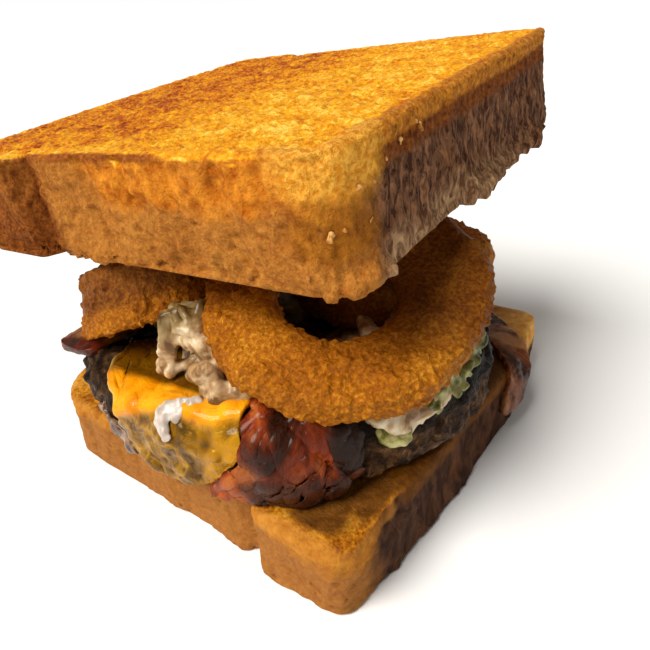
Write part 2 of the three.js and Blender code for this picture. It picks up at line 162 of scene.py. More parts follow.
def ease(low, high, values):
    # 0 up to low, 1 from high on and a soft rise between them, or the other way round
    share = np.clip((values - low) / (high - low), 0, 1)
    return share * share * (3 - 2 * share)


def spotAt(middle, reach, values):
    return np.exp(-((values - middle) / reach) ** 2)


def weigh(piece, **groups):
    # a vertex group for each set of weights
    for name, weights in groups.items():
        group = piece.vertex_groups.new(name=name)
        for index in np.nonzero(weights > 0.004)[0]:
            group.add([int(index)], float(min(weights[index], 1)), "REPLACE")


def paint(piece, **layers):
    # an attribute, which a material can read, for each layer
    for name, values in layers.items():
        layer = piece.data.attributes.new(name, "FLOAT", "POINT")
        layer.data.foreach_set("value", np.clip(values, 0, 1).astype(np.float32))


def pit(piece, allowed, look):
    # sinks small round pits into the allowed skin and returns how deep each place lies
    places = placesOf(piece)
    dice = np.random.default_rng(look["seed"])
    pool = np.nonzero(allowed > 0.6)[0]
    centres = dice.choice(pool, look["count"], replace=False)
    sizes = dice.uniform(look["least"], look["most"], len(centres))
    tree = KDTree(len(centres))
    for index, centre in enumerate(centres):
        tree.insert(places[centre], index)
    tree.balance()
    deep = np.zeros(len(places))
    for index in pool:
        for _, nearest, distance in tree.find_n(places[index], 2):
            deep[index] = max(deep[index], 1 - (distance / sizes[nearest]) ** 2)
    weigh(piece, pitted=deep)
    lift(piece, -look["depth"], "pitted")
    return deep


def join(name, parts):
    deselectAll()
    for part in parts:
        part.select_set(True)
    bpy.context.view_layer.objects.active = parts[0]
    bpy.ops.object.join()
    piece = bpy.context.object
    piece.name = name
    return piece


def copyOf(piece, name, matrix):
    copy = piece.copy()
    copy.data = piece.data.copy()
    copy.name = name
    bpy.context.collection.objects.link(copy)
    copy.data.transform(matrix)
    return copy


def shiftTo(place):
    return Matrix.Translation(Vector(place) * mm)


def placed(place, turn, size):
    # a matrix from a place in mm, Euler angles and a size
    return shiftTo(place) @ Euler(turn).to_matrix().to_4x4() @ Matrix.Diagonal((*size, 1))


def dress(piece, material, slot, *nodes):
    # smooth shading, the finish, and which body and nodes the piece belongs to. The slot argument is not used
    pickOnly(piece)
    bpy.ops.object.shade_smooth()
    piece.data.materials.clear()
    piece.data.materials.append(material)
    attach(piece, "root")
    if nodes:
        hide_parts(*nodes)
    print(piece.name + ":", len(piece.data.polygons), "faces")


def linear(code):
    # an sRGB hex colour as linear values
    parts = [int(code[k:k + 2], 16) / 255 for k in (1, 3, 5)]
    return [p / 12.92 if p <= 0.04045 else ((p + 0.055) / 1.055) ** 2.4 for p in parts] + [1]


def per(size):
    # the noise scale that gives features of this size in mm
    return 1000 / size


# noise keeps near its middle, so this part of it is stretched to the whole range
spread = (0.36, 0.64)


def addNode(tree, kind, *values, stops=(), out=0, **named):
    # adds one node and gives its output. Values go to the sockets in their order or by name, and
    # other names are settings. A hex code is a colour, and another word is a painted layer
    node = tree.nodes.new("ShaderNode" + kind)
    sockets = dict(enumerate(values))
    for name, value in named.items():
        if name in node.inputs:
            sockets[name] = value
        else:
            setattr(node, name, value)
    if stops:
        while len(node.color_ramp.elements) < len(stops):
            node.color_ramp.elements.new(0.5)
        for element, (place, code) in zip(node.color_ramp.elements, stops):
            element.position = place
            element.color = linear(code)
    for name, value in sockets.items():
        if isinstance(value, str) and value[0] != "#":
            value = addNode(tree, "Attribute", attribute_name=value, out="Fac")
        if isinstance(value, bpy.types.NodeSocket):
            tree.links.new(value, node.inputs[name])
        else:
            node.inputs[name].default_value = linear(value) if isinstance(value, str) else value
    return node.outputs[out]


def startMaterial(name, look):
    # a material with these shader values, what adds its nodes, and its coordinates
    material = bpy.data.materials.new(name)
    material.use_nodes = True
    for socket, value in look.items():
        material.node_tree.nodes["Principled BSDF"].inputs[socket].default_value = value
    add = partial(addNode, material.node_tree)
    return material, add, add("TexCoord", out="Object")


def plug(holder, sockets, shader="Principled BSDF"):
    for socket, value in sockets.items():
        holder.node_tree.links.new(value, holder.node_tree.nodes[shader].inputs[socket])
    return holder


def griddledToast(name, look):
    # white bread griddled in butter: a golden greasy face with brown specks, dry porous walls and
    # a dark wrinkled crust
    material, add, coords = startMaterial(name, {
        "IOR": 1.45, "Specular IOR Level": 0.12, "Subsurface Weight": 0.05,
        "Subsurface Scale": 1.5 * mm, "Subsurface Radius": (1, 0.6, 0.25)})
    turned = add("Mapping", coords, Rotation=(0, 0, look["grain"]))
    drawn = add("Mapping", turned, Scale=(1, 0.75, 1))
    tall = add("Mapping", coords, Scale=(1, 1, look["wrinkle"]))
    # each pattern: where it is read, size, detail, roughness, distortion and range
    fine, crumb, patch, streak, crinkle = [
        add("MapRange", add("TexNoise", at, Scale=per(size), Detail=detail, Roughness=rough,
                            Distortion=warp), *reach)
        for at, size, detail, rough, warp, reach in (
            (coords, 1.2, 4, 0.65, 0, spread), (coords, 3.2, 5, 0.68, 0, (0.34, 0.66)),
            (coords, 15, 3, 0.6, 0, spread), (drawn, 6, 5, 0.7, 0.4, spread),
            (tall, look["wrinkleSize"], 4, 0.6, 0.8, (0.4, 0.64)))]
    patterns = {"fine": fine, "crumb": crumb, "crinkle": crinkle}
    grainy = add("Mix", 0.62, A=crumb, B=fine)
    colour = add("MixRGB", add("Mix", 0.22, A=grainy, B=patch), *look["wall"])
    tone = add("Math", "toasted", -0.5, add("Mix", 0.5, A=fine, B=streak), operation="MULTIPLY_ADD")
    face = add("ValToRGB", add("Math", tone, 0.2, operation="ADD"), stops=look["face"])
    torn = add("Math", patch, -0.5, operation="ADD")
    for layer, ragged, pattern, *shades in look["layers"]:
        tint = add("MixRGB", patterns[pattern], *shades) if shades else face
        mask = add("Math", torn, ragged, layer, operation="MULTIPLY_ADD")
        colour = add("MixRGB", add("MapRange", mask, 0.2, 0.8), colour, tint)
    relief = add("Mix", "crust", A=add("Mix", 0.45, A=crumb, B=fine), B=crinkle)
    greasy = add("MapRange", fine, 0, 1, 0.28, 0.55)
    return plug(material, {
        "Base Color": colour, "Roughness": add("Mix", "face", A=0.8, B=greasy),
        "Normal": add("Bump", Height=relief, Strength=1.0, Distance=look["relief"] * mm)})


# each layer: its name, how torn its edge is, its pattern, and its dark and pale colours. A layer
# with no colours takes those of the face
topToast = griddledToast("griddled toast, top slice", {
    "grain": 0.5, "relief": 0.55, "wrinkle": 0.42, "wrinkleSize": 1.6, "wall": ("#8e4d17", "#c98838"),
    "face": [(0, "#84360a"), (0.2, "#b4560e"), (0.4, "#d67e10"), (0.6, "#e99c14"), (0.8, "#f6b01c"),
             (1, "#ffd058")],
    "layers": [
        ("pits", 0.1, "fine", "#985010", "#b06c26"), ("orange", 0.7, "crumb", "#a45207", "#e29028"),
        ("olive", 0.6, "crumb", "#7c4208", "#b87420"), ("crust", 0.5, "crinkle", "#3c1e0d", "#946646"),
        ("fuzz", 0.5, "crinkle", "#6e4830", "#c09a70"), ("glow", 0.5, "fine", "#5e2c0a", "#985418"),
        ("face", 0.2, "fine"), ("lip", 0.5, "fine", "#9a560f", "#d68c2a"),
        ("honey", 0.4, "fine", "#c87c16", "#f6b646"), ("rim", 0.5, "fine", "#7a3a0a", "#a8601f")]})
# on the bottom slice the soak layer is partly grease soaked into the face and partly painted shadow of the
# bacon
bottomToast = griddledToast("griddled toast, bottom slice", {
    "grain": 0.9, "relief": 0.35, "wrinkle": 0.4, "wrinkleSize": 4, "wall": ("#8e5520", "#b07638"),
    "face": [(0, "#7a4008"), (0.25, "#a3600c"), (0.45, "#bd7a14"), (0.65, "#d0902a"), (1, "#e6ac4a")],
    "layers": [
        ("pits", 0.1, "fine", "#7a451c", "#94602c"), ("orange", 0.6, "crumb", "#b0640c", "#d08a22"),
        ("olive", 0.6, "crumb", "#5c3d12", "#8a6420"), ("crust", 0.3, "crinkle", "#341c0f", "#5e3c26"),
        ("glow", 0.6, "crumb", "#66340f", "#8e5522"), ("face", 0.2, "fine"),
        ("soak", 0.5, "crumb", "#553008", "#744716"), ("rim", 0.4, "crumb", "#a8641a", "#cc8c34"),
        ("corner", 0.3, "crumb", "#d08a30", "#ffc870")]})
print("toast materials made")


loaf = {"width": 115, "crownCorner": 6, "crease": 2.8, "creaseReach": 5, "bulge": 3.5, "dome": 3,
        "domeFlat": 12, "domeReach": 46, "rim": 1.6}
# turn is in degrees
bottomSlice = {**loaf, "thickness": 23, "square": 92, "crown": 34.5, "corner": 20, "voxel": 0.8,
               "turn": (0, 0, 180), "at": (0, -28, 0)}
topSlice = {**loaf, "thickness": 27, "square": 90, "crown": 35, "corner": 10, "voxel": 0.66,
            "turn": (-2.6, -3.9, 1.7), "at": (3.6, 30.7, 78.6)}


def sliceOfBread(name, cut):
    # a cube, grown into the loaf's crown past the crease, with rounded corners and rims
    half, top, crownLine = cut["width"] / 2, cut["thickness"], cut["crown"] - cut["dome"]
    deselectAll()
    bpy.ops.mesh.primitive_cube_add(size=1, location=(0, -cut["square"] / 2 * mm, top / 2 * mm),
                                    scale=(cut["width"] * mm, cut["square"] * mm, top * mm))
    bread = startPiece(name)
    editMode(bread)
    bpy.ops.mesh.select_all(action="SELECT")
    bpy.ops.mesh.bisect(plane_co=(0, -cut["creaseReach"] * mm, 0), plane_no=(0, 1, 0))
    pick("FACE", lambda face: face.normal.y > 0.9)
    for wider, further in (((half - cut["crease"]) / half, cut["creaseReach"]),
                           ((half + cut["bulge"]) / (half - cut["crease"]), crownLine - cut["creaseReach"])):
        bpy.ops.transform.resize(value=(wider, 1, 1))
        bpy.ops.mesh.extrude_region_move(TRANSFORM_OT_translate={"value": (0, further * mm, 0)})

    def upright(edge, y):
        low, high = edge.verts[0].co, edge.verts[1].co
        return abs(low.x - high.x) < mm and abs(low.y - y * mm) < mm and abs(high.y - y * mm) < mm
    roundEdges(lambda edge: upright(edge, -cut["square"]), cut["corner"], 7)
    roundEdges(lambda edge: upright(edge, crownLine), cut["crownCorner"], 5)
    roundEdges(lambda edge: edge.is_manifold and edge.calc_face_angle() > 1
               and abs(edge.verts[0].co.z - edge.verts[1].co.z) < mm, cut["rim"], 3)
    objectMode()
    remesh(bread, cut["voxel"])
    pull(bread, lambda vert: vert.co.y > (crownLine - 1) * mm and abs(vert.co.x) < cut["domeFlat"] * mm,
         (0, cut["dome"], 0), cut["domeReach"])
    relax(bread, 3)
    return bread


def edgeRoom(cut, x, y):
    # how far a place is from the slice's outline, in the plane of the slice
    side = cut["width"] / 2 + np.where(y > 0, cut["bulge"], 0) - np.abs(x)
    return np.minimum(side, np.minimum(y + cut["square"], cut["crown"] - y))


def bakeWalls(bread, cut, look):
    # lumps, folds, crumb and pits on the walls, a torn lower edge and a finely pitted face.
    # Returns how deep the pits are, and the new places and normals
    x, y, z = placesOf(bread).T
    normals, top = normalsOf(bread), cut["thickness"]
    walls = 1 - ease(0.35, 0.8, np.abs(normals[:, 2]))
    slant = 0.12 * (z - 10)
    weigh(bread, walls=walls * (1 - 0.55 * ease(-0.4, -0.9, normals[:, 1])),
          faces=ease(0.75, 0.95, normals[:, 2]) * (0.15 + 0.85 * ease(1, 5, edgeRoom(cut, x, y))),
          lower=ease(look["tornReach"], 1, z) * walls,
          folds=walls * sum(spotAt(fold + slant, 2.2, y) for fold in look["folds"]),
          ledge=ease(4.5, 1.5, y + cut["square"]) * ease(top - 4, top - 1, z))
    roughen(bread, 24, 1.6, "walls", detail=0, contrast=2)
    lift(bread, -look["foldDepth"], "folds")
    roughen(bread, 8, look["lumps"], "walls", contrast=2)
    roughen(bread, 2.6, look["crumbs"], "walls", contrast=2.5)
    roughen(bread, 1.5, 0.6 * look["crumbs"], "walls", detail=0, contrast=2.5)
    roughen(bread, 14, look["sag"], "lower", detail=0, contrast=2)
    roughen(bread, 3.4, look["torn"], "lower", mid=0.4, contrast=2)
    roughen(bread, 3.4, look["faces"], "faces", contrast=2)
    roughen(bread, 1.7, look["faces"], "faces", detail=0, contrast=2)
    lift(bread, look["lip"], "ledge")
    roughen(bread, 2.4, 1.6 * look["lip"], "ledge")
    deep = pit(bread, walls, look["pits"])
    return deep, *placesOf(bread).T, normalsOf(bread)


def placeSlice(bread, cut):
    turn = Euler([math.radians(angle) for angle in cut["turn"]], "ZYX")
    bread.data.transform(shiftTo(cut["at"]) @ turn.to_matrix().to_4x4())


bottomBread = sliceOfBread("breadBottom", bottomSlice)
deep, x, y, z, normals = bakeWalls(bottomBread, bottomSlice, {
    "folds": (-70, -48, -25), "foldDepth": 0.8, "lumps": 0.7, "crumbs": 0.22, "tornReach": 4,
    "sag": 0.4, "torn": 0.5, "faces": 0.15, "lip": 0.2,
    "pits": {"seed": 11, "count": 160, "least": 0.6, "most": 1.2, "depth": 0.4}})
room = edgeRoom(bottomSlice, x, y)
upper = ease(0.55, 0.85, normals[:, 2]) * ease(18, 20, z)
wall = 1 - upper
# the crown wall carries the loaf's crust, painted dark brown: partly the crust's own colour and partly
# painted shade on this side away from the light
crownWall = ease(-0.2, 0.5, normals[:, 1]) * ease(58, 42, x) * ease(10, 22, y)
nearCorner = spotAt(52, 15, x) * spotAt(26, 15, y)
# the spot beside the patty and the drips are where the face is painted darker: partly grease soaked in,
# partly painted shadow of the bacon
shadowBesidePatty = ease(24, 29, y) * ease(42, 34, x) * ease(-46, -38, x)
dripsAndShadow = np.maximum(spotAt(42, 10, x) * spotAt(31, 10, y), spotAt(53, 9, x) * spotAt(20, 10, y))
# the corner layer is partly a golden toasted edge at the far corner of the face and partly painted light
# where the top slice casts its shadow
paint(bottomBread, face=upper, toasted=0.35 + 0.45 * ease(9, 2, room), crust=crownWall * wall,
      orange=wall * (ease(17, 22, z) * ease(-62, -76, y) + 0.9 * ease(10, 20, z) * nearCorner
                     + ease(16, 21, z) * ease(-35, -48, x) * ease(15, 28, y)),
      olive=wall * 0.5 * ease(8, 2, z) * ease(20, 30, y) * ease(40, 52, x),
      glow=0.6 * crownWall * ease(14, 22, z) * wall * ease(30, 48, x),
      rim=0.7 * ease(4.5, 0.8, room) * ease(17, 20, z) * (1 - shadowBesidePatty),
      soak=ease(17, 21, z) * ease(2, 5, room) * dripsAndShadow + ease(16, 20, z) * shadowBesidePatty,
      pits=deep * wall, corner=ease(10, 18, z) * spotAt(-54, 13, x) * spotAt(30, 13, y))
placeSlice(bottomBread, bottomSlice)
dress(bottomBread, bottomToast, "toast", "bread_bottom")

topBread = sliceOfBread("breadTop", topSlice)
deep, x, y, z, normals = bakeWalls(topBread, topSlice, {
    "folds": (-66, -52, -38, -23), "foldDepth": 1.4, "lumps": 0.9, "crumbs": 0.6, "tornReach": 8,
    "sag": 3, "torn": 1.6, "faces": 0.4, "lip": 0.5,
    "pits": {"seed": 5, "count": 420, "least": 0.5, "most": 1.2, "depth": 0.4}})
room = edgeRoom(topSlice, x, y)
upper = ease(0.25, 0.7, normals[:, 2]) * ease(20, 24, z)
wall = 1 - upper
# the two walls that meet at the near corner, and the way round it: the left wall is above 10 mm
# and the base wall below -10
fromLeft, fromBase = x + topSlice["width"] / 2, y + topSlice["square"]
onWalls = ease(9, 3, np.minimum(fromLeft, fromBase))
along = fromBase - fromLeft
# the base wall carries the loaf's crust, painted dark brown: partly the crust's own colour and partly painted
# shade on this side away from the light
baseWall = onWalls * ease(-4, -19, along) + ease(52, 56, x)
corner = onWalls * ease(18, 8, along) * ease(-20, -12, along)
paint(topBread, face=upper, crust=np.clip(baseWall, 0, 1) * wall,
      toasted=0.7 * ease(-54, -14, y) * (0.85 + 0.15 * ease(-50, -25, x)) * ease(2.5, 7, room)
      + 0.35 * ease(-50, -70, y) * ease(5, 2, room),
      orange=wall * ease(12, 20, z) * ease(80, 50, along) * ease(-18, -6, along),
      olive=wall * corner * ease(4, 10, z) * ease(22, 15, z),
      fuzz=wall * baseWall * ease(12, 2, z) * ease(-110, -40, along),
      glow=wall * (ease(18, 22, z) * ease(-4, -16, along) + 0.8 * ease(-12, -2, y) * onWalls),
      lip=ease(4, 1.2, fromBase) * ease(22.5, 24.5, z) * ease(-50, -38, x),
      honey=corner * ease(13, 24, z) * ease(8, 3, room),
      rim=np.maximum(ease(1.8, 0.4, room), ease(3.4, 1.6, topSlice["crown"] - y))
      * ease(24.2, 26, z) * ease(30, 50, along),
      pits=0.7 * deep * (1 - baseWall) * wall)
placeSlice(topBread, topSlice)
dress(topBread, topToast, "toast", "bread_top")


def charredBeef():
    # coarse minced beef, seared on a griddle: near-black char on top, grey-brown fibres below,
    # wet with fat that whitens as it sets
    material, add, coords = startMaterial("charred minced beef", {"IOR": 1.45, "Specular IOR Level": 0.14})
    grain, lumps = [add("MapRange", noise, *spread) for noise in (
        add("TexNoise", coords, Scale=per(3.0), Detail=6, Roughness=0.66, Distortion=0.6),
        add("TexNoise", coords, Scale=per(8), Detail=4, Roughness=0.6, Distortion=1.0))]
    mixed = add("Mix", 0.4, A=grain, B=lumps)
    char = add("ValToRGB", mixed, stops=[
        (0.15, "#040201"), (0.5, "#110904"), (0.75, "#201309"), (1, "#3e2c1c")])
    flesh = add("ValToRGB", mixed, stops=[
        (0.1, "#160c06"), (0.45, "#3c2614"), (0.7, "#644526"), (1, "#8e6c48")])
    hairs = add("TexNoise", coords, Scale=per(6), Detail=5, Roughness=0.6, Distortion=2.2,
                noise_type="RIDGED_MULTIFRACTAL")
    setFat = add("Math", add("MapRange", hairs, 1.3, 1.9), "fat", operation="MULTIPLY")
    return plug(material, {
        "Base Color": add("MixRGB", setFat, add("MixRGB", "low", char, flesh), "#75624c"),
        "Roughness": add("MapRange", mixed, 0, 1, 0.55, 0.28),
        "Normal": add("Bump", Height=mixed, Strength=1.0, Distance=1.3 * mm)})


# each crag: its size, depth and detail
pattySize = {"x": -2.2, "y": -4.2, "radius": 61.5, "base": 23.5, "height": 20.5, "rim": 7, "foot": 5,
             "voxel": 0.95, "crags": ((15, 2.6, 1), (5.5, 3.4, 1), (2.8, 1.8, 2))}
# each pull: the spot, how near it the skin is dragged, the move and how far that eases out
pattyPulls = {"leftEndSwells": ((-56, 25, 43), 5, (-3.4, 1.6, 3.6), 16),
              "rightSidePressed": ((34.5, -53.6, 34), 9, (-2.9, 3.9, 0), 36)}
deselectAll()
bpy.ops.mesh.primitive_cylinder_add(
    vertices=96, radius=pattySize["radius"] * mm, depth=pattySize["height"] * mm,
    location=(pattySize["x"] * mm, pattySize["y"] * mm, (pattySize["base"] + pattySize["height"] / 2) * mm))
patty = startPiece("pattyGrilled")
pattyTop = pattySize["base"] + pattySize["height"]
editMode(patty)
roundEdges(lambda edge: min(v.co.z for v in edge.verts) > (pattyTop - 1) * mm, pattySize["rim"], 6)
roundEdges(lambda edge: max(v.co.z for v in edge.verts) < (pattySize["base"] + 1) * mm, pattySize["foot"], 5)
objectMode()
remesh(patty, pattySize["voxel"])
for spot, near, move, reach in pattyPulls.values():
    pull(patty, lambda vert: (vert.co - Vector(spot) * mm).length < near * mm, move, reach)
weigh(patty, outside=ease(0.9, 0.5, -normalsOf(patty)[:, 2]))
for size, depth, detail in pattySize["crags"]:
    roughen(patty, size, depth, "outside", detail)
x, y, z = placesOf(patty).T
angles = np.degrees(np.arctan2(y - pattySize["y"], x - pattySize["x"])) % 360
underRing = ease(26, 18, np.hypot(x + 8, y + 20)) * ease(41, 43, z)  # seen through the front ring
paint(patty, low=np.maximum.reduce([ease(38, 32, z), 0.6 * spotAt(158, 14, angles), underRing]),
      fat=0.2 * ease(255, 268, angles) * ease(28, 36, z) * ease(310, 300, angles) + 0.5 * ease(31, 27, z))
dress(patty, charredBeef(), "patty", "patty")

girth = math.radians(1) * pattySize["radius"]  # mm on the rim for each degree


def onPatty(angles, arcs, off):
    # places over the patty's side: an arc runs outward from the flat top's edge, then down
    flat, rim = pattySize["radius"] - pattySize["rim"], pattySize["rim"]
    bend = np.clip(arcs / rim, 0, math.pi / 2)
    reach = flat + np.minimum(arcs, 0) + (rim + off) * np.sin(bend)
    height = pattyTop - rim + (rim + off) * np.cos(bend) - np.maximum(arcs - rim * math.pi / 2, 0)
    turn = np.radians(angles)
    return np.stack([pattySize["x"] + reach * np.cos(turn), pattySize["y"] + reach * np.sin(turn), height], 1)


def blotOn(angles, arcs, angle, arc, reach):
    # a round soft spot over the patty's side
    return spotAt(angle, reach / girth, angles) * spotAt(arc, reach, arcs)


def drapeSheet(name, sheet):
    # a grid laid over the patty's side between two edges, given as (arc, angle) points
    deselectAll()
    across, down = sheet["cells"]
    bpy.ops.mesh.primitive_grid_add(x_subdivisions=across, y_subdivisions=down, size=1 * mm)
    piece = startPiece(name)
    places = placesOf(piece)
    share, fall = places[:, 0] + 0.5, 0.5 - places[:, 1]
    arcs = sheet["left"][0][0] + fall * (sheet["left"][-1][0] - sheet["left"][0][0])
    left = np.interp(arcs, *zip(*sheet["left"])) + sheet["wave"] * np.sin(arcs / 1.6)
    right = np.interp(arcs, *zip(*sheet["right"])) + sheet["wave"] * np.sin(arcs / 1.3 + 1)
    angles = left + share * (right - left)
    moveSkin(piece, onPatty(angles, arcs, sheet["off"]))
    relax(piece, 4)
    modify(piece, "SHRINKWRAP", target=patty, wrap_method="NEAREST_SURFACEPOINT", wrap_mode="OUTSIDE",
           offset=sheet["off"] * mm)
    relax(piece, 3)
    return piece, angles, arcs, share


def meltedCheese():
    # processed cheddar melted on a hot patty: orange and glossy where thick, dark brown above as painted
    # shade, thin, olive and see-through lower down
    material, add, coords = startMaterial("melted cheddar", {
        "Roughness": 0.3, "IOR": 1.46, "Specular IOR Level": 0.22, "Specular Tint": linear("#ffdf9a"),
        "Subsurface Weight": 0.2, "Subsurface Scale": 2 * mm, "Subsurface Radius": (1, 0.55, 0.12),
        "Coat Weight": 0.25, "Coat Roughness": 0.06, "Coat Tint": linear("#ffe6b8")})
    blots, swirl = [add("MapRange", noise, *spread) for noise in (
        add("TexNoise", coords, Scale=per(5), Detail=4, Roughness=0.6, Distortion=0.8),
        add("TexNoise", coords, Scale=per(13), Detail=2, Roughness=0.5, Distortion=1.2))]
    veins = add("TexNoise", coords, Scale=per(9), Detail=3, Roughness=0.5, Distortion=1.6,
                noise_type="RIDGED_MULTIFRACTAL")
    colour = add("ValToRGB", blots, stops=[
        (0, "#4c3404"), (0.35, "#704e06"), (0.65, "#92690a"), (1, "#ac8418")])
    body = add("ValToRGB", swirl, stops=[(0.1, "#d98404"), (0.5, "#ea9a08"), (0.9, "#f5ad18")])
    for mask, tint in ((add("MapRange", veins, 1.35, 1.95, 0, 0.4), "#ac8a2c"), ("lower", "#c08a10"),
                       ("spots", "#402613"), ("thick", body), ("shaded", "#452a02"), ("cream", "#d9bd78")):
        colour = add("MixRGB", mask, colour, tint)
    return plug(material, {
        "Base Color": colour, "Normal": add("Bump", Height=blots, Strength=0.45, Distance=0.8 * mm)})


# bandLow and bandHigh are the lower and upper edge of the thick band as (angle, arc). The bubble
# and the spots are angle, arc and size
cheeseSheet = {
    "cells": (110, 90), "off": 0.55, "wave": 0.35,
    "left": [(-16, 152), (-8, 148), (-3, 149), (2, 156.5), (4, 160), (6, 166.5), (8, 169.5), (10, 169.5),
             (15, 166.5), (17.5, 168.5), (19.6, 176), (22, 180), (23.2, 183)],
    "right": [(-16, 210), (-2.3, 208.6), (0.7, 206.2), (4.2, 205.8), (8.2, 205.8), (13.5, 204.8),
              (15.5, 202), (19.5, 198.5), (21, 196.5), (22.2, 193), (23.2, 189)],
    "bandLow": [(158, 12), (165, 10.5), (170, 9), (177.7, 6), (184.4, 3.4), (192, 3.6), (199, 4.4),
                (204, 2.5)],
    "bandHigh": [(156, 5), (160.3, 3.4), (168, 0.4), (175, -1.6), (183, -2.4), (191, -2.2), (198, -1.4),
                 (205, -1.6)],
    "bubble": (199.6, 11.2, 1.1), "lifts": {"dents": -0.7, "roll": 0.9, "bubble": 1.0}, "thickness": 1.5,
    "spots": [(197.6, 9.2, 2.2), (184.5, 17.3, 0.9), (185.5, 20.8, 1.0), (190.3, 18.3, 1.0),
              (194.1, 19.7, 1.0), (179.9, 17.8, 0.8), (193, 15.5, 0.6), (187, 14, 0.6), (182, 21, 0.9),
              (188.5, 21.5, 0.8)]}
cheese, angles, arcs, share = drapeSheet("cheeseMelted", cheeseSheet)
belowBand = arcs - np.interp(angles, *zip(*cheeseSheet["bandLow"]))
belowBandTop = arcs - np.interp(angles, *zip(*cheeseSheet["bandHigh"]))
thick = ease(2.2, -0.8, belowBand)
spots = sum(blotOn(angles, arcs, *spot) for spot in cheeseSheet["spots"])
# the shaded layer is painted shade: dark brown on the cheese above the thick band, where the ring and the top
# slice shade it
paint(cheese, thick=thick, shaded=0.92 * ease(1.2, -1.4, belowBandTop - 0.8), spots=0.9 * spots,
      lower=0.9 * ease(194, 198, angles) * ease(5, 9, arcs),
      cream=0.7 * ease(0.025, 0.005, share) * ease(0, 5, arcs))
weigh(cheese, thicker=0.05 + thick, roll=spotAt(-1.2, 2.2, belowBand), thin=1 - thick, dents=spots,
      bubble=blotOn(angles, arcs, *cheeseSheet["bubble"]))
for group, height in cheeseSheet["lifts"].items():
    lift(cheese, height, group)
roughen(cheese, 7, 0.9, "thicker", detail=0)
roughen(cheese, 4.5, 0.8, "thin")
thicken(cheese, cheeseSheet["thickness"], 1, thickness_vertex_group=0.35, vertex_group="thicker")
relax(cheese, 3)
dress(cheese, meltedCheese(), "cheese", "cheese")


def friedBacon(name, look):
    # streaky bacon fried in its own fat: wet mahogany lean, ochre fat bands, black char specks
    material, add, coords = startMaterial(name, {
        "Roughness": 0.42, "IOR": 1.46, "Specular IOR Level": 0.2, "Specular Tint": linear("#ffc8a0"),
        "Subsurface Weight": 0.06, "Subsurface Scale": 1 * mm, "Coat Weight": look["wet"],
        "Coat Roughness": 0.18, "Coat Tint": linear("#ffd8b8")})
    turned = add("Mapping", coords, Rotation=look["turn"], Scale=look["stretch"])
    bands, grain = [add("MapRange", noise, *spread) for noise in (
        add("TexNoise", turned, Scale=per(9), Detail=4, Roughness=0.55, Distortion=0.7),
        add("TexNoise", turned, Scale=per(2.8), Detail=6, Roughness=0.65, Distortion=0.5))]
    colour = add("ValToRGB", bands, stops=look["bands"])
    for layer, dark, pale in look["layers"]:
        colour = add("MixRGB", layer, colour, add("MixRGB", grain, dark, pale))
    char = add("MapRange", grain, 0.3, 0.0, 0, 0.45)
    return plug(material, {
        "Base Color": add("MixRGB", char, colour, "#140806"),
        "Normal": add("Bump", Height=grain, Strength=0.8, Distance=0.45 * mm)})


# bellyAt is the swollen part's angle and arc and how far it reaches in each
frontBacon = {
    "cells": (110, 90), "off": 0.7, "wave": 0.3,
    "left": [(-12, 207.5), (-1.7, 208.4), (1.6, 206.2), (7, 205.9), (13, 204.8), (17, 201), (20.2, 197.6),
             (22.5, 196.2), (24, 196.5)],
    "right": [(-12, 230), (4.6, 231.4), (9.5, 231.6), (15.5, 231), (17.2, 229), (20.6, 226), (24, 217)],
    "lifts": {"swell": 3.0, "groove": -1.2}, "ridge": 0.35, "bellyAt": (219, 19, 8, 6.5), "thickness": 1.9}
rasher, angles, arcs = drapeSheet("baconFront", frontBacon)[:3]
bellyAngle, bellyArc, bellyWide, bellyTall = frontBacon["bellyAt"]
belly = spotAt(bellyAngle, bellyWide, angles) * spotAt(bellyArc, bellyTall, arcs)
# the strip layer paints the rasher's right end near-black: painted shade on the part facing away from the
# light
paint(rasher, strip=ease(224.5, 226.5, angles) * ease(17.5, 15, arcs),
      belly=np.maximum(belly, ease(14, 18, arcs) * ease(204, 208, angles)),
      charred=spotAt(209.5, 3.6, angles) * spotAt(10.5, 3.6, arcs)
      + spotAt(205.5, 1.2, angles) * spotAt(19, 1.2, arcs),
      tip=ease(206, 200, angles) * ease(17, 19, arcs))
weigh(rasher, swell=belly, groove=spotAt(224.6, 1.0, angles - 0.25 * (arcs - 8)) * ease(18, 14, arcs)
      + 0.8 * spotAt(213 + 0.8 * arcs, 1.2, angles) * ease(2, 8, arcs))
for group, height in frontBacon["lifts"].items():
    lift(rasher, height, group)
roughen(rasher, 8, 2.2, detail=0)
roughen(rasher, 3.0, 0.45)
ridges = np.sin((angles * girth + 0.9 * arcs) / 0.75 + 1.5 * np.sin(arcs / 3.1)) * (1 - belly)
weigh(rasher, ridges=np.clip(ridges, 0, 1))
lift(rasher, frontBacon["ridge"], "ridges")
relax(rasher, 2)
thicken(rasher, frontBacon["thickness"], 1)
relax(rasher, 2)
# the strip colours below are near-black painted shade
dress(rasher, friedBacon("fried bacon, front", {
    "wet": 0.25, "turn": (0, 0, 0.7), "stretch": (1, 1, 0.5),
    "bands": [(0, "#260b04"), (0.35, "#5c1c06"), (0.65, "#8e380e"), (1, "#b46428")],
    "layers": [("belly", "#2a1209", "#4a2415"), ("strip", "#080202", "#180604"),
               ("charred", "#0a0403", "#2a110d"), ("tip", "#521804", "#a85018")]}), "bacon", "bacon_front")


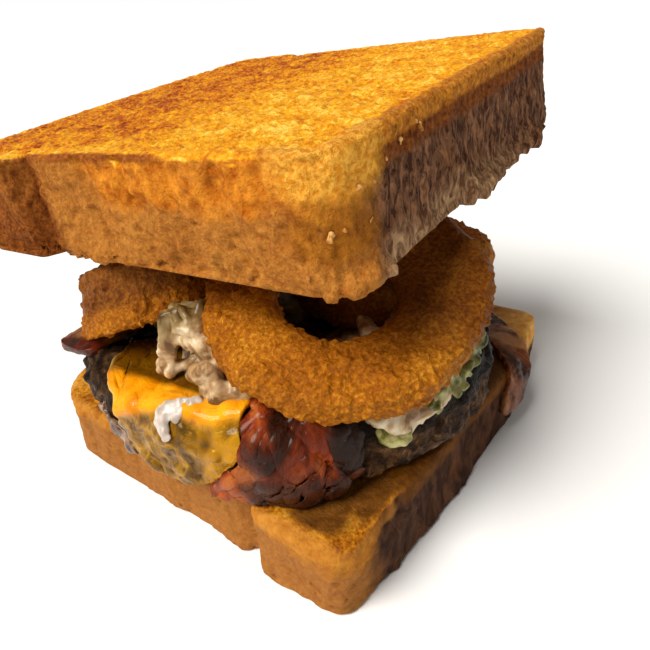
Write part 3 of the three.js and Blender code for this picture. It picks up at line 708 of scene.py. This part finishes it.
def stripAlong(name, course, across, width, levels):
    # an edge extruded step by step along the strip's course
    points = [Vector(p) * mm for p in course]
    side = Vector(across).normalized() * width * mm
    deselectAll()
    bpy.ops.mesh.primitive_plane_add(size=1 * mm, location=points[0])
    piece = startPiece(name)
    editMode(piece)
    pick("VERT", lambda vert: vert.co.x > points[0].x)
    bpy.ops.mesh.delete(type="VERT")
    mesh = bmesh.from_edit_mesh(piece.data)
    mesh.verts.ensure_lookup_table()
    for vert, end in zip(mesh.verts, (-0.5, 0.5)):
        vert.co = points[0] + side * end
    bmesh.update_edit_mesh(piece.data)
    bpy.ops.mesh.select_all(action="SELECT")
    for here, following in zip(points, points[1:]):
        bpy.ops.mesh.extrude_region_move(TRANSFORM_OT_translate={"value": following - here})
    bpy.ops.mesh.select_all(action="SELECT")
    bpy.ops.mesh.normals_make_consistent(inside=False)
    objectMode()
    modify(piece, "SUBSURF", levels=levels, render_levels=levels)
    return piece


def rasherAlong(name, strip):
    bacon = stripAlong(name, strip["course"], strip["across"], strip["width"], 5)
    roughen(bacon, strip["fold"], strip["ruffle"], detail=0)
    roughen(bacon, 3, 0.9)
    thicken(bacon, strip["thickness"], 0)
    relax(bacon, 2)
    return bacon


leftBacon = rasherAlong("baconLeft", {
    "course": [(-58.8, 32, 47.6), (-54, 32.6, 47.6), (-48, 33, 47.6), (-40, 33.8, 47.4), (-32, 34, 47.3),
               (-22, 33.6, 47.3), (-12, 33, 47.3), (0, 30, 47.1)],
    "across": (0.05, -1, 0.06), "width": 16.5, "thickness": 2.4, "fold": 9, "ruffle": 1.0})
x, y = placesOf(leftBacon).T[:2]
paint(leftBacon, fatBand=ease(-54, -51, x + 0.2 * y - 5))
dress(leftBacon, friedBacon("fried bacon, left", {
    "wet": 0.3, "turn": (0, 0, 0.0), "stretch": (0.4, 1, 1),
    "bands": [(0, "#2e0e06"), (0.5, "#581a0a"), (1, "#702e12")],
    "layers": [("fatBand", "#5e340c", "#97641e")]}), "bacon", "bacon_left")
rightBacon = rasherAlong("baconRight", {
    "course": [(50.6, -34.4, 26.6), (47.4, -39, 26.6), (44.2, -43.4, 26.4), (40.8, -47.8, 26.2),
               (37.2, -52.4, 26.1), (33.4, -57.2, 25.9), (30, -61.4, 25.0), (27.8, -64.2, 22.4),
               (25.2, -65, 18.4), (22.2, -65.2, 13.6), (19.8, -64.9, 10)],
    "across": (-0.9, 0.2, 0), "width": 11, "thickness": 2.0, "fold": 5, "ruffle": 1.3})
dress(rightBacon, friedBacon("fried bacon, right", {
    "wet": 0.4, "turn": (0, 0, 0.6), "stretch": (1, 0.35, 0.35),
    "bands": [(0, "#1e0e08"), (0.4, "#42210f"), (0.7, "#74401e"), (1, "#a67a50")], "layers": []}),
    "bacon", "bacon_right")


def breadedBatter(name, look):
    # onion in batter and coarse crumbs, deep-fried: rough, dry-looking gold with oily glints where crumbed,
    # and a darker brown plain batter elsewhere that is partly its own tone and partly painted shade
    material, add, coords = startMaterial(name, {
        "Roughness": 0.55, "IOR": 1.46, "Specular IOR Level": 0.12, "Subsurface Weight": 0.06,
        "Subsurface Scale": 1 * mm, "Subsurface Radius": (1, 0.5, 0.2)})
    crumb, patch = [add("MapRange", noise, *spread) for noise in (
        add("TexNoise", coords, Scale=per(1.0), Detail=3, Roughness=0.6),
        add("TexNoise", coords, Scale=per(12), Detail=3, Roughness=0.55))]
    tone = add("Mix", 0.4, A=crumb, B=patch)
    golden = add("ValToRGB", tone, stops=look["crumbs"])
    plainAndShade = add("ValToRGB", tone, stops=look["batter"])
    return plug(material, {
        "Base Color": add("MixRGB", "crisp", plainAndShade, golden),
        "Normal": add("Bump", Height=crumb, Strength=0.6, Distance=0.5 * mm)})


ringBatter = breadedBatter("fried breadcrumbs", {
    "crumbs": [(0, "#7c4206"), (0.4, "#9a580a"), (0.7, "#b06c0e"), (1, "#cc8c28")],
    "batter": [(0.1, "#562a06"), (0.5, "#75400c"), (1, "#905a18")]})

# broad makes the band wider inwards round the angle broadAt, and flare its foot wider outwards.
# crust gives the size, depth and contrast of its crumbs
# crispAt is the angle the crumbed side faces and crustTop the height above which crumbs stop. The plain
# batter this leaves on the front ring's right side and the left ring's upper part is darker, partly its own
# tone and partly painted shade
evenRing = {"broad": 0, "broadAt": 0, "flare": 0, "flareAt": 0, "wobble": 2.0, "crustTop": 20,
            "coarse": 1.1, "crust": ((4, 0.9, 1), (1.6, 0.5, 2))}
frontRing = {**evenRing, "radius": 26, "width": 18, "height": 10.6, "round": 4.2, "voxel": 0.55,
             "broad": 7, "broadAt": -35, "at": (-20.2, -36.4, 63.4), "lean": (11.8, -19.6),
             "crispAt": 184, "flakes": 620, "seed": 21}
backRing = {**evenRing, "radius": 25, "width": 15, "height": 14, "round": 5, "voxel": 0.7,
            "at": (20, -22, 52), "lean": (0, 0), "crispAt": 300, "flakes": 160, "seed": 22}
leftRing = {**evenRing, "radius": 15, "width": 13, "height": 17, "round": 1.4, "voxel": 0.55,
            "at": (-32.2, 20, 61.4), "lean": (-20, 3), "crispAt": 200, "flakes": 200, "seed": 23,
            "flare": 6.5, "flareAt": 135, "wobble": 0.8, "crustTop": -5}
flakeKind = ball("flakeKind", 1)


def crustOn(ring, places, share):
    # the outer wall, and how crusted each place is: the crisp side and a share of that wall
    x, y = places.T[:2]
    facing = np.cos(np.arctan2(y, x) - math.radians(ring["crispAt"]))
    outer = ease(ring["radius"] + 2, ring["radius"] + ring["width"] / 2 - 1, np.hypot(x, y))
    return outer, np.clip(ease(0.0, 0.7, facing) + share * outer * ease(-0.9, -0.2, facing), 0, 1)


def onionRing(name, ring):
    # an open tube thickened to the band's width, rounded, covered in crumbs and leant over
    deselectAll()
    bpy.ops.mesh.primitive_cylinder_add(vertices=72, radius=ring["radius"] * mm, depth=ring["height"] * mm,
                                        end_fill_type="NOTHING", location=(0, 0, 0))
    batter = startPiece(name)
    thicken(batter, ring["width"], 0)
    editMode(batter)
    roundEdges(lambda edge: edge.is_manifold and edge.calc_face_angle() > 1, ring["round"], 5)
    objectMode()
    remesh(batter, ring["coarse"])
    x, y, z = placesOf(batter).T
    turn = np.arctan2(y, x)
    reach = np.hypot(x, y)
    inner = np.clip((ring["radius"] + ring["width"] / 2 - reach) / ring["width"], 0, 1)
    reach -= ring["broad"] * np.maximum(0, np.cos(turn - math.radians(ring["broadAt"]))) ** 2 * inner
    reach += ring["flare"] * np.maximum(0, np.cos(turn - math.radians(ring["flareAt"]))) * (1 - inner) * (
        0.25 - z / ring["height"])
    moveSkin(batter, np.stack([reach * np.cos(turn), reach * np.sin(turn), z], 1))
    roughen(batter, 11, ring["wobble"], detail=0)
    places = placesOf(batter)
    outer, crusted = crustOn(ring, places, 0.45)
    dice = np.random.default_rng(ring["seed"])
    likely = crusted * (0.35 + outer) + 0.02
    flakes = [batter]
    for index in dice.choice(len(places), ring["flakes"], replace=False, p=likely / likely.sum()):
        size = dice.uniform(0.7, 1.5, 3) * (1, 1, 0.6)
        flakes.append(copyOf(flakeKind, "flake", placed(places[index], dice.uniform(0, 6, 3), size)))
    batter = join(name, flakes)
    remesh(batter, ring["voxel"])
    places = placesOf(batter)
    crusted = crustOn(ring, places, 0.35)[1] * ease(ring["crustTop"] + 6, ring["crustTop"], places[:, 2])
    weigh(batter, crusted=0.12 + crusted)
    for size, depth, contrast in ring["crust"]:
        roughen(batter, size, depth, "crusted", contrast=contrast)
    # crisp picks golden crumbs; where it is low the darker plain batter shows, partly as painted shade
    paint(batter, crisp=crusted)
    axis = Vector([math.radians(a) for a in (*ring["lean"], 0)])
    lean = Matrix.Rotation(axis.length, 4, axis.normalized()) if axis.length else Matrix()
    batter.data.transform(shiftTo(ring["at"]) @ lean)
    return batter


dress(onionRing("ringFront", frontRing), ringBatter, "onion_ring", "ring_front")
dress(onionRing("ringBack", backRing), ringBatter, "onion_ring", "ring_back")
dress(onionRing("ringLeft", leftRing), ringBatter, "onion_ring", "ring_left")


def creamedCabbage(name, stops, wet):
    # shredded cabbage in mayonnaise: ivory and wet, tan in its hollows, olive where it is leaf, and dark
    # brown as painted shade where the heap lies in shade
    material, add, coords = startMaterial(name, {
        "Roughness": 0.3, "IOR": 1.45, "Specular IOR Level": 0.3, "Subsurface Weight": 0.15,
        "Subsurface Scale": 1.5 * mm, "Subsurface Radius": (1, 0.7, 0.4), "Coat Weight": wet,
        "Coat Roughness": 0.15})
    patch = add("TexNoise", coords, Scale=per(7), Detail=4, Roughness=0.6, Distortion=0.6)
    patch = add("MapRange", patch, *spread)
    fine = add("TexNoise", coords, Scale=per(2.2), Detail=3)
    shade = add("MixRGB", patch, "#38260a", "#8f7434")
    return plug(material, {
        "Base Color": add("MixRGB", "dim", add("ValToRGB", patch, stops=stops), shade),
        "Normal": add("Bump", Height=fine, Strength=0.4, Distance=0.6 * mm)})


slawCream = creamedCabbage("cabbage in mayonnaise", [
    (0, "#6e4e26"), (0.3, "#a8845a"), (0.6, "#cbb088"), (1, "#e6d8ba")], 0.12)
slawGreen = creamedCabbage("green cabbage leaf", [
    (0, "#4a4c1a"), (0.5, "#7d7c3a"), (1, "#b8b27a")], 0.15)


def cabbageShred(length, width, thickness, bend, twist):
    # a flat strip, bent and twisted along its length
    deselectAll()
    bpy.ops.mesh.primitive_grid_add(x_subdivisions=12, y_subdivisions=2, size=1 * mm)
    bpy.ops.transform.resize(value=(length, width, 1))
    strip = startPiece("shredKind")
    modify(strip, "SIMPLE_DEFORM", deform_method="BEND", angle=math.radians(bend), deform_axis="Y")
    modify(strip, "SIMPLE_DEFORM", deform_method="TWIST", angle=math.radians(twist), deform_axis="X")
    thicken(strip, thickness, 0)
    modify(strip, "SUBSURF", levels=1, render_levels=1)
    return strip


shredKinds = [cabbageShred(13, 4.2, 2.4, 70, 20), cabbageShred(17, 3.6, 2.2, 120, -35),
              cabbageShred(11, 4.6, 2.6, 40, 50), cabbageShred(20, 3.4, 2.2, 170, 15)]
lumpKind = ball("lumpKind", 2)

# core is the height of a mound's solid middle and share its width. No strips lie in the bare
# stretch, where the patty shows through the front ring
mounds = [
    {"x": 4, "y": 16, "reachX": 42, "reachY": 36, "rise": 27, "core": 25, "share": 0.9, "strips": 150},
    {"x": -41, "y": -9, "reachX": 10.5, "reachY": 18, "rise": 15.5, "core": 13, "share": 0.7, "strips": 36},
    {"x": -20, "y": -40, "reachX": 25, "reachY": 17, "rise": 6.5, "core": 1.8, "share": 0.96, "strips": 34}]
slawHeap = {"base": 44.6, "bareX": (-32, 22), "bareY": (-38, 0), "lumpSize": (2.2, 4.2), "shorter": 0.45,
            "clump": 4, "voxel": 0.66, "turn": math.pi * (3 - math.sqrt(5))}
# the showing pieces, each set at its place in the photo: x, y, z and size
showingLumps = [
    (-48.5, -11.7, 60.2, 4.4), (-49, -14.2, 57, 3.6), (-51, -15.6, 53.4, 4.8), (-51.6, -13.6, 50.6, 3.8),
    (-50.6, -18.4, 50, 4.6), (-50.4, -21.2, 47.8, 4.4), (-48.8, -24.2, 46.4, 3.8), (-52.2, -3, 50, 3.2),
    (-46, -11.5, 63.2, 3.8), (-47, -5, 62.5, 3.2), (-53, -17.5, 48.2, 3.0), (-53.4, -20.5, 46.6, 2.8),
    (-37.2, -55.2, 43.6, 3.6), (-34.4, -57.2, 41.6, 3.2), (-31, -59.2, 41.6, 3.4), (-27.4, -60, 43.6, 3.8),
    (-33.9, -58.6, 40.6, 3), (-31.5, -60.6, 38.8, 2.8), (-28.6, -61.6, 40.4, 3), (-30.4, -60.6, 42.6, 3),
    (-25.6, -61.6, 42, 2.8), (-23.4, -61.4, 44, 3.6), (-20, -62.2, 43.6, 3.2), (-33, -56, 44.4, 3.4)]
# the course, the direction across it, the width and the thickness of each strand
showingStrands = [
    ([(-49.6, -4.6, 65), (-50.6, -4.4, 61), (-51.4, -4, 57), (-52, -3.4, 53), (-52.8, -2.4, 49.6)],
     (0.62, -0.78, 0), 4.6, 2.6),
    ([(-48.4, -4.6, 64.4), (-49.4, -7, 62.2), (-50.2, -9.4, 60), (-51, -11.6, 57.6), (-51.6, -13.6, 55.6)],
     (0.3, 0.5, 0.8), 2.4, 2.2),
    ([(-47.6, -7.6, 65.4), (-48.6, -9.4, 64.6), (-49.2, -11.6, 63), (-49.2, -13.4, 60.6)],
     (0.4, 0.5, 0.7), 3.2, 2.2),
    ([(-29.6, -58.4, 45), (-28.4, -60.4, 42.8), (-25.6, -62.2, 42.4), (-22.4, -63, 43.4), (-19, -63, 44.8)],
     (0.2, 0.5, 0.8), 6.5, 2.0),
    ([(-33, -57, 45), (-31.6, -59.6, 42.4), (-29.4, -61.6, 40.6)], (0.6, -0.4, 0.5), 4.4, 2.0),
    ([(-36, -55.2, 46), (-36.5, -57.5, 43), (-35.5, -59.2, 40), (-34, -60.5, 38.4)],
     (0.75, -0.5, 0.2), 4.6, 1.8),
    ([(-30, -58, 46.5), (-30.5, -60.6, 43.4), (-29.6, -62, 40)], (0.85, -0.4, 0.2), 5, 1.8)]


def moundHeight(mound, x, y):
    out = math.hypot((x - mound["x"]) / mound["reachX"], (y - mound["y"]) / mound["reachY"])
    return max(0, 1 - out ** 3.2) * mound["rise"]


dice = random.Random(2417)
heap = []
base, bareX, bareY = slawHeap["base"], slawHeap["bareX"], slawHeap["bareY"]
for mound in mounds:
    deselectAll()
    bpy.ops.mesh.primitive_uv_sphere_add(
        segments=40, ring_count=24, radius=1 * mm, location=(mound["x"] * mm, mound["y"] * mm, base * mm),
        scale=(mound["reachX"] * mound["share"], mound["reachY"] * mound["share"], mound["core"]))
    core = startPiece("slawCore")
    editMode(core)
    bpy.ops.mesh.select_all(action="SELECT")
    bpy.ops.mesh.bisect(plane_co=(0, 0, (base + 0.2) * mm), plane_no=(0, 0, 1), clear_inner=True,
                        use_fill=True)
    objectMode()
    heap.append(core)
    for k in range(mound["strips"]):
        far = math.sqrt((k + 0.5) / mound["strips"])
        x = mound["x"] + far * mound["reachX"] * math.cos(k * slawHeap["turn"])
        y = mound["y"] + far * mound["reachY"] * math.sin(k * slawHeap["turn"])
        spot = (x, y, base + 1 + moundHeight(mound, x, y))
        tumble = (dice.uniform(-0.6, 0.6), dice.uniform(-0.5, 0.5), dice.uniform(0, math.tau))
        size = dice.uniform(*slawHeap["lumpSize"])
        short = 1 - slawHeap["shorter"] * far  # the outer shreds stick out less
        if bareX[0] < x < bareX[1] and bareY[0] < y < bareY[1]:
            continue
        if k % 3 == 2:
            heap.append(copyOf(lumpKind, "lump", placed(spot, tumble, (size, size * 0.85, size * 0.7))))
        else:
            heap.append(copyOf(dice.choice(shredKinds), "shred", placed(spot, tumble, (short, 1.1, 1.2))))
for *middle, size in showingLumps:
    for k in range(slawHeap["clump"]):
        tumble = (dice.uniform(0, 3), dice.uniform(0, 3), 0)
        spot = [c + dice.uniform(-0.5, 0.5) * size for c in middle]
        part = size * dice.uniform(0.45, 0.66)
        heap.append(copyOf(lumpKind, "lump", placed(spot, tumble, (part * 1.2, part, part * 0.8))))
for course, across, width, thickness in showingStrands:
    strand = stripAlong("strand", course, across, width, 2)
    thicken(strand, thickness, 0)
    heap.append(strand)
slaw = join("slawHeap", heap)
remesh(slaw, slawHeap["voxel"])
relax(slaw, 1)
roughen(slaw, 3.5, 0.6, contrast=2)
x, y, z = placesOf(slaw).T
# painted shade: the heap is painted dark brown inside the front ring's hole and under the top slice, where it
# lies in shade
shadeInHole = ease(24, 18, np.hypot(x, y + 16))  # seen through the front ring
shadeUnderTop = ease(57, 63, z + 0.5 * (y + 8)) * ease(-40, -45, x)  # in the top slice's shade
paint(slaw, dim=shadeInHole + 0.8 * shadeUnderTop)
dress(slaw, slawCream, "slaw", "slaw")

greenLeaves = [
    ([(-39, -55.6, 39.6), (-37, -58, 38.2), (-34.6, -59.8, 37.6), (-32, -60.8, 38)],
     (0.55, 0.5, 0.3), 5, 1.6),
    ([(-14, -62, 47), (-11, -63.4, 45), (-8, -64.6, 44), (-5, -65, 45.6)], (0.1, 0.5, 0.8), 4, 1.2),
    ([(-10, -61.4, 48), (-7, -63.4, 47), (-3.6, -65, 46.6), (-1, -66, 48)], (0.3, 0.3, 0.9), 2.4, 1.0),
    ([(-15.6, -62, 45.6), (-13, -63.4, 43.4), (-10, -64.4, 42.4)], (0.3, 0.3, 0.9), 3, 1.2),
    ([(-25.4, -60, 47), (-25.6, -62.6, 44.4), (-24.6, -63.8, 41.6)], (0.9, -0.4, 0.1), 5, 1.3),
    ([(-19.4, -61.4, 47.6), (-19.6, -64, 45), (-18.6, -65, 42.8)], (0.9, -0.3, -0.2), 5, 1.2),
    ([(-22.4, -60.8, 47.6), (-22.8, -63.4, 46), (-22, -64.8, 44)], (0.8, -0.3, 0.4), 3, 1.2)]
# crumpled bits of leaf, some at each place
leafBits = {"each": 3, "scatter": 1.4, "size": (0.42, 0.8, 0.6), "voxel": 0.4, "at": [
    (-26, -62.2, 41), (-23, -62.9, 42.2), (-19.8, -63.2, 43), (-16.5, -63.5, 43.8), (-12, -63.6, 44.4),
    (-7.3, -63.6, 44.9), (-3, -63.4, 45.4)]}
greens = []
for course, across, width, thickness in greenLeaves:
    leaf = stripAlong("leaf", course, across, width, 4)
    roughen(leaf, 2.6, 1.6, contrast=2)
    thicken(leaf, thickness, 0)
    relax(leaf, 1)
    greens.append(leaf)
for middle in leafBits["at"]:
    for k in range(leafBits["each"]):
        spot = [c + dice.uniform(-1, 1) * leafBits["scatter"] for c in middle]
        tumble = (dice.uniform(0, 3), dice.uniform(0, 3), dice.uniform(0, 3))
        greens.append(copyOf(dice.choice(shredKinds), "leaf", placed(spot, tumble, leafBits["size"])))
leaves = join("slawGreens", greens)
remesh(leaves, leafBits["voxel"])
relax(leaves, 1)
dress(leaves, slawGreen, "slaw")
for kind in shredKinds + [lumpKind]:
    bpy.data.objects.remove(kind)


def whiteDressing():
    # a drop of dressing with no colour of its own: milky, wet and slightly see-through
    material, add, coords = startMaterial("milky dressing", {
        "Roughness": 0.35, "IOR": 1.4, "Subsurface Weight": 0.3, "Subsurface Scale": 2 * mm,
        "Coat Weight": 0.2})
    blots = add("TexNoise", coords, Scale=per(3), Detail=3)
    tint = add("ValToRGB", add("MapRange", blots, *spread), stops=[
        (0, "#aa9c8e"), (0.6, "#c4b9b0"), (1, "#d8d2cc")])
    return plug(material, {
        "Base Color": tint, "Normal": add("Bump", Height=blots, Strength=0.4, Distance=0.5 * mm)})


# at gives angle, arc and size of each drop
drops = {"off": 2.0, "tilt": 0.9, "flat": 0.45, "voxel": 0.35, "at": [
    (192.8, 1.2, 2.1), (191, 2.2, 2.5), (189, 3.0, 2.7), (187, 3.6, 2.8), (185.6, 4.8, 2.4),
    (186.2, 6.2, 2.2), (187.2, 7.6, 2.0), (188, 8.8, 1.5), (189.6, 4.8, 1.7)]}
dropKind = ball("dropKind", 2)
dressing = []
for angle, arc, size in drops["at"]:
    spot = onPatty(np.array([angle]), np.array([arc]), drops["off"])[0]
    turn = (0, drops["tilt"], math.radians(angle))
    dressing.append(copyOf(dropKind, "drop", placed(spot, turn, (size, size, size * drops["flat"]))))
bpy.data.objects.remove(dropKind)
dressing = join("dressingDrop", dressing)
remesh(dressing, drops["voxel"])
relax(dressing, 3)
roughen(dressing, 3, 0.6, contrast=2)
dress(dressing, whiteDressing(), "slaw")


def renderedFat():
    # fat that has run out of the beef and set at its foot: grey, wet and half see-through
    material, add, coords = startMaterial("set beef fat", {
        "Roughness": 0.25, "IOR": 1.45, "Subsurface Weight": 0.3, "Subsurface Scale": 2 * mm,
        "Coat Weight": 0.2})
    blots = add("MapRange", add("TexNoise", coords, Scale=per(4), Detail=4, Roughness=0.6), *spread)
    return plug(material, {
        "Base Color": add("ValToRGB", blots, stops=[(0, "#3a2414"), (0.5, "#6b4a2e"), (1, "#96755a")]),
        "Normal": add("Bump", Height=blots, Strength=0.4, Distance=0.6 * mm)})


fatSheet = {"cells": (40, 30), "off": 0.3, "wave": 0.6, "thickness": 1.0,
            "left": [(10, 158), (14, 155), (18, 158), (21, 164)],
            "right": [(10, 165), (14, 170), (18, 172), (21, 174)]}
fat = drapeSheet("fatFringe", fatSheet)[0]
roughen(fat, 4, 1.2)
thicken(fat, fatSheet["thickness"], 1)
relax(fat, 2)
dress(fat, renderedFat(), "patty")


def toastCrumb():
    # broken bits of batter and toast: golden, dry, with browned sides
    material, add, coords = startMaterial("loose toasted crumbs", {"Roughness": 0.6, "IOR": 1.45})
    blots = add("MapRange", add("TexNoise", coords, Scale=per(2), Detail=3), *spread)
    return plug(material, {
        "Base Color": add("ValToRGB", blots, stops=[(0, "#8a4c14"), (0.5, "#bd7c2a"), (1, "#dba860")])})


# x, y and z near the skin that carries each crumb, and its size
crumbsOnTop = [(-39, -56.5, 78, 1.5), (-49, -56, 91, 1.1), (-46.5, -57, 92, 0.6), (-42, -58, 91.5, 0.8),
               (-22, -59.5, 104, 1.2), (-24, -59.5, 105, 0.8), (-44, -58, 98, 0.7), (-40, -58.4, 98.4, 0.6),
               (-52, -53, 84, 0.7), (-46, -57, 78, 0.6), (-30, -60, 103, 0.6), (-36, -59, 100.6, 0.6)]
loose = []
for *near, size in crumbsOnTop:
    spot, normal = topBread.closest_point_on_mesh(Vector(near) * mm)[1:3]
    tumble = (dice.uniform(0, 3), dice.uniform(0, 3), dice.uniform(0, 3))
    loose.append(copyOf(flakeKind, "crumb", placed(
        spot / mm + normal * 0.25 * size, tumble, (size, size * 0.7, size * 0.5))))
crumbs = join("looseCrumbs", loose)
modify(crumbs, "SUBSURF", levels=2, render_levels=2)
roughen(crumbs, 1.0, 0.8, contrast=2)
dress(crumbs, toastCrumb(), "toast")
bpy.data.objects.remove(flakeKind)

# matt white studio board: bright, with no pattern
board = startMaterial("matt white board", {"Base Color": linear("#f8fbff"), "Roughness": 0.85})[0]
deselectAll()
bpy.ops.mesh.primitive_plane_add(size=60, location=(0, 0, -0.05 * mm))
floor = startPiece("floor")
floor.data.materials.append(board)

# one broad soft light from the left and above, as in the photo, and an even weak glow all round
light = {"toward": (0.78, -0.2, -1.05), "softness": 34, "strength": 3.95, "colour": (1, 0.95, 0.87)}
lamp = bpy.data.lights.new("key", "SUN")
lamp.angle = math.radians(light["softness"])
lamp.energy = light["strength"]
lamp.color = light["colour"]
key = bpy.data.objects.new("key", lamp)
bpy.context.collection.objects.link(key)
key.rotation_euler = Vector(light["toward"]).to_track_quat("-Z", "Y").to_euler()

# the room: white to look at, but it lights the food only weakly
studio = {"seen": 1.0, "light": 0.28, "warmth": (1, 0.93, 0.84, 1)}
world = bpy.context.scene.world or bpy.data.worlds.new("room")
bpy.context.scene.world = world
world.use_nodes = True
seen = addNode(world.node_tree, "LightPath", out="Is Camera Ray")
plug(world, {"Strength": addNode(world.node_tree, "MapRange", seen, 0, 1, studio["light"], studio["seen"]),
             "Color": addNode(world.node_tree, "MixRGB", seen, studio["warmth"], "#ffffff")}, "Background")
bpy.context.scene.view_settings.view_transform = "Standard"

cameraView = {"at": (-124.7, -115.8, 127.4), "lens": 32.737, "right": (0.5934, -0.7987, -0.0997),
              "down": (-0.4442, -0.2217, -0.8681), "forward": (0.6712, 0.5594, -0.4863)}
cameraData = bpy.data.cameras.new("camera")
cameraData.sensor_width = 36
cameraData.lens = cameraView["lens"]
cameraData.clip_start = 0.01
camera = bpy.data.objects.new("camera", cameraData)
bpy.context.collection.objects.link(camera)
turn = Matrix((cameraView["right"], -Vector(cameraView["down"]), -Vector(cameraView["forward"]))).transposed()
camera.matrix_world = shiftTo(cameraView["at"]) @ turn.to_4x4()
bpy.context.scene.camera = camera
print("camera and lights set")
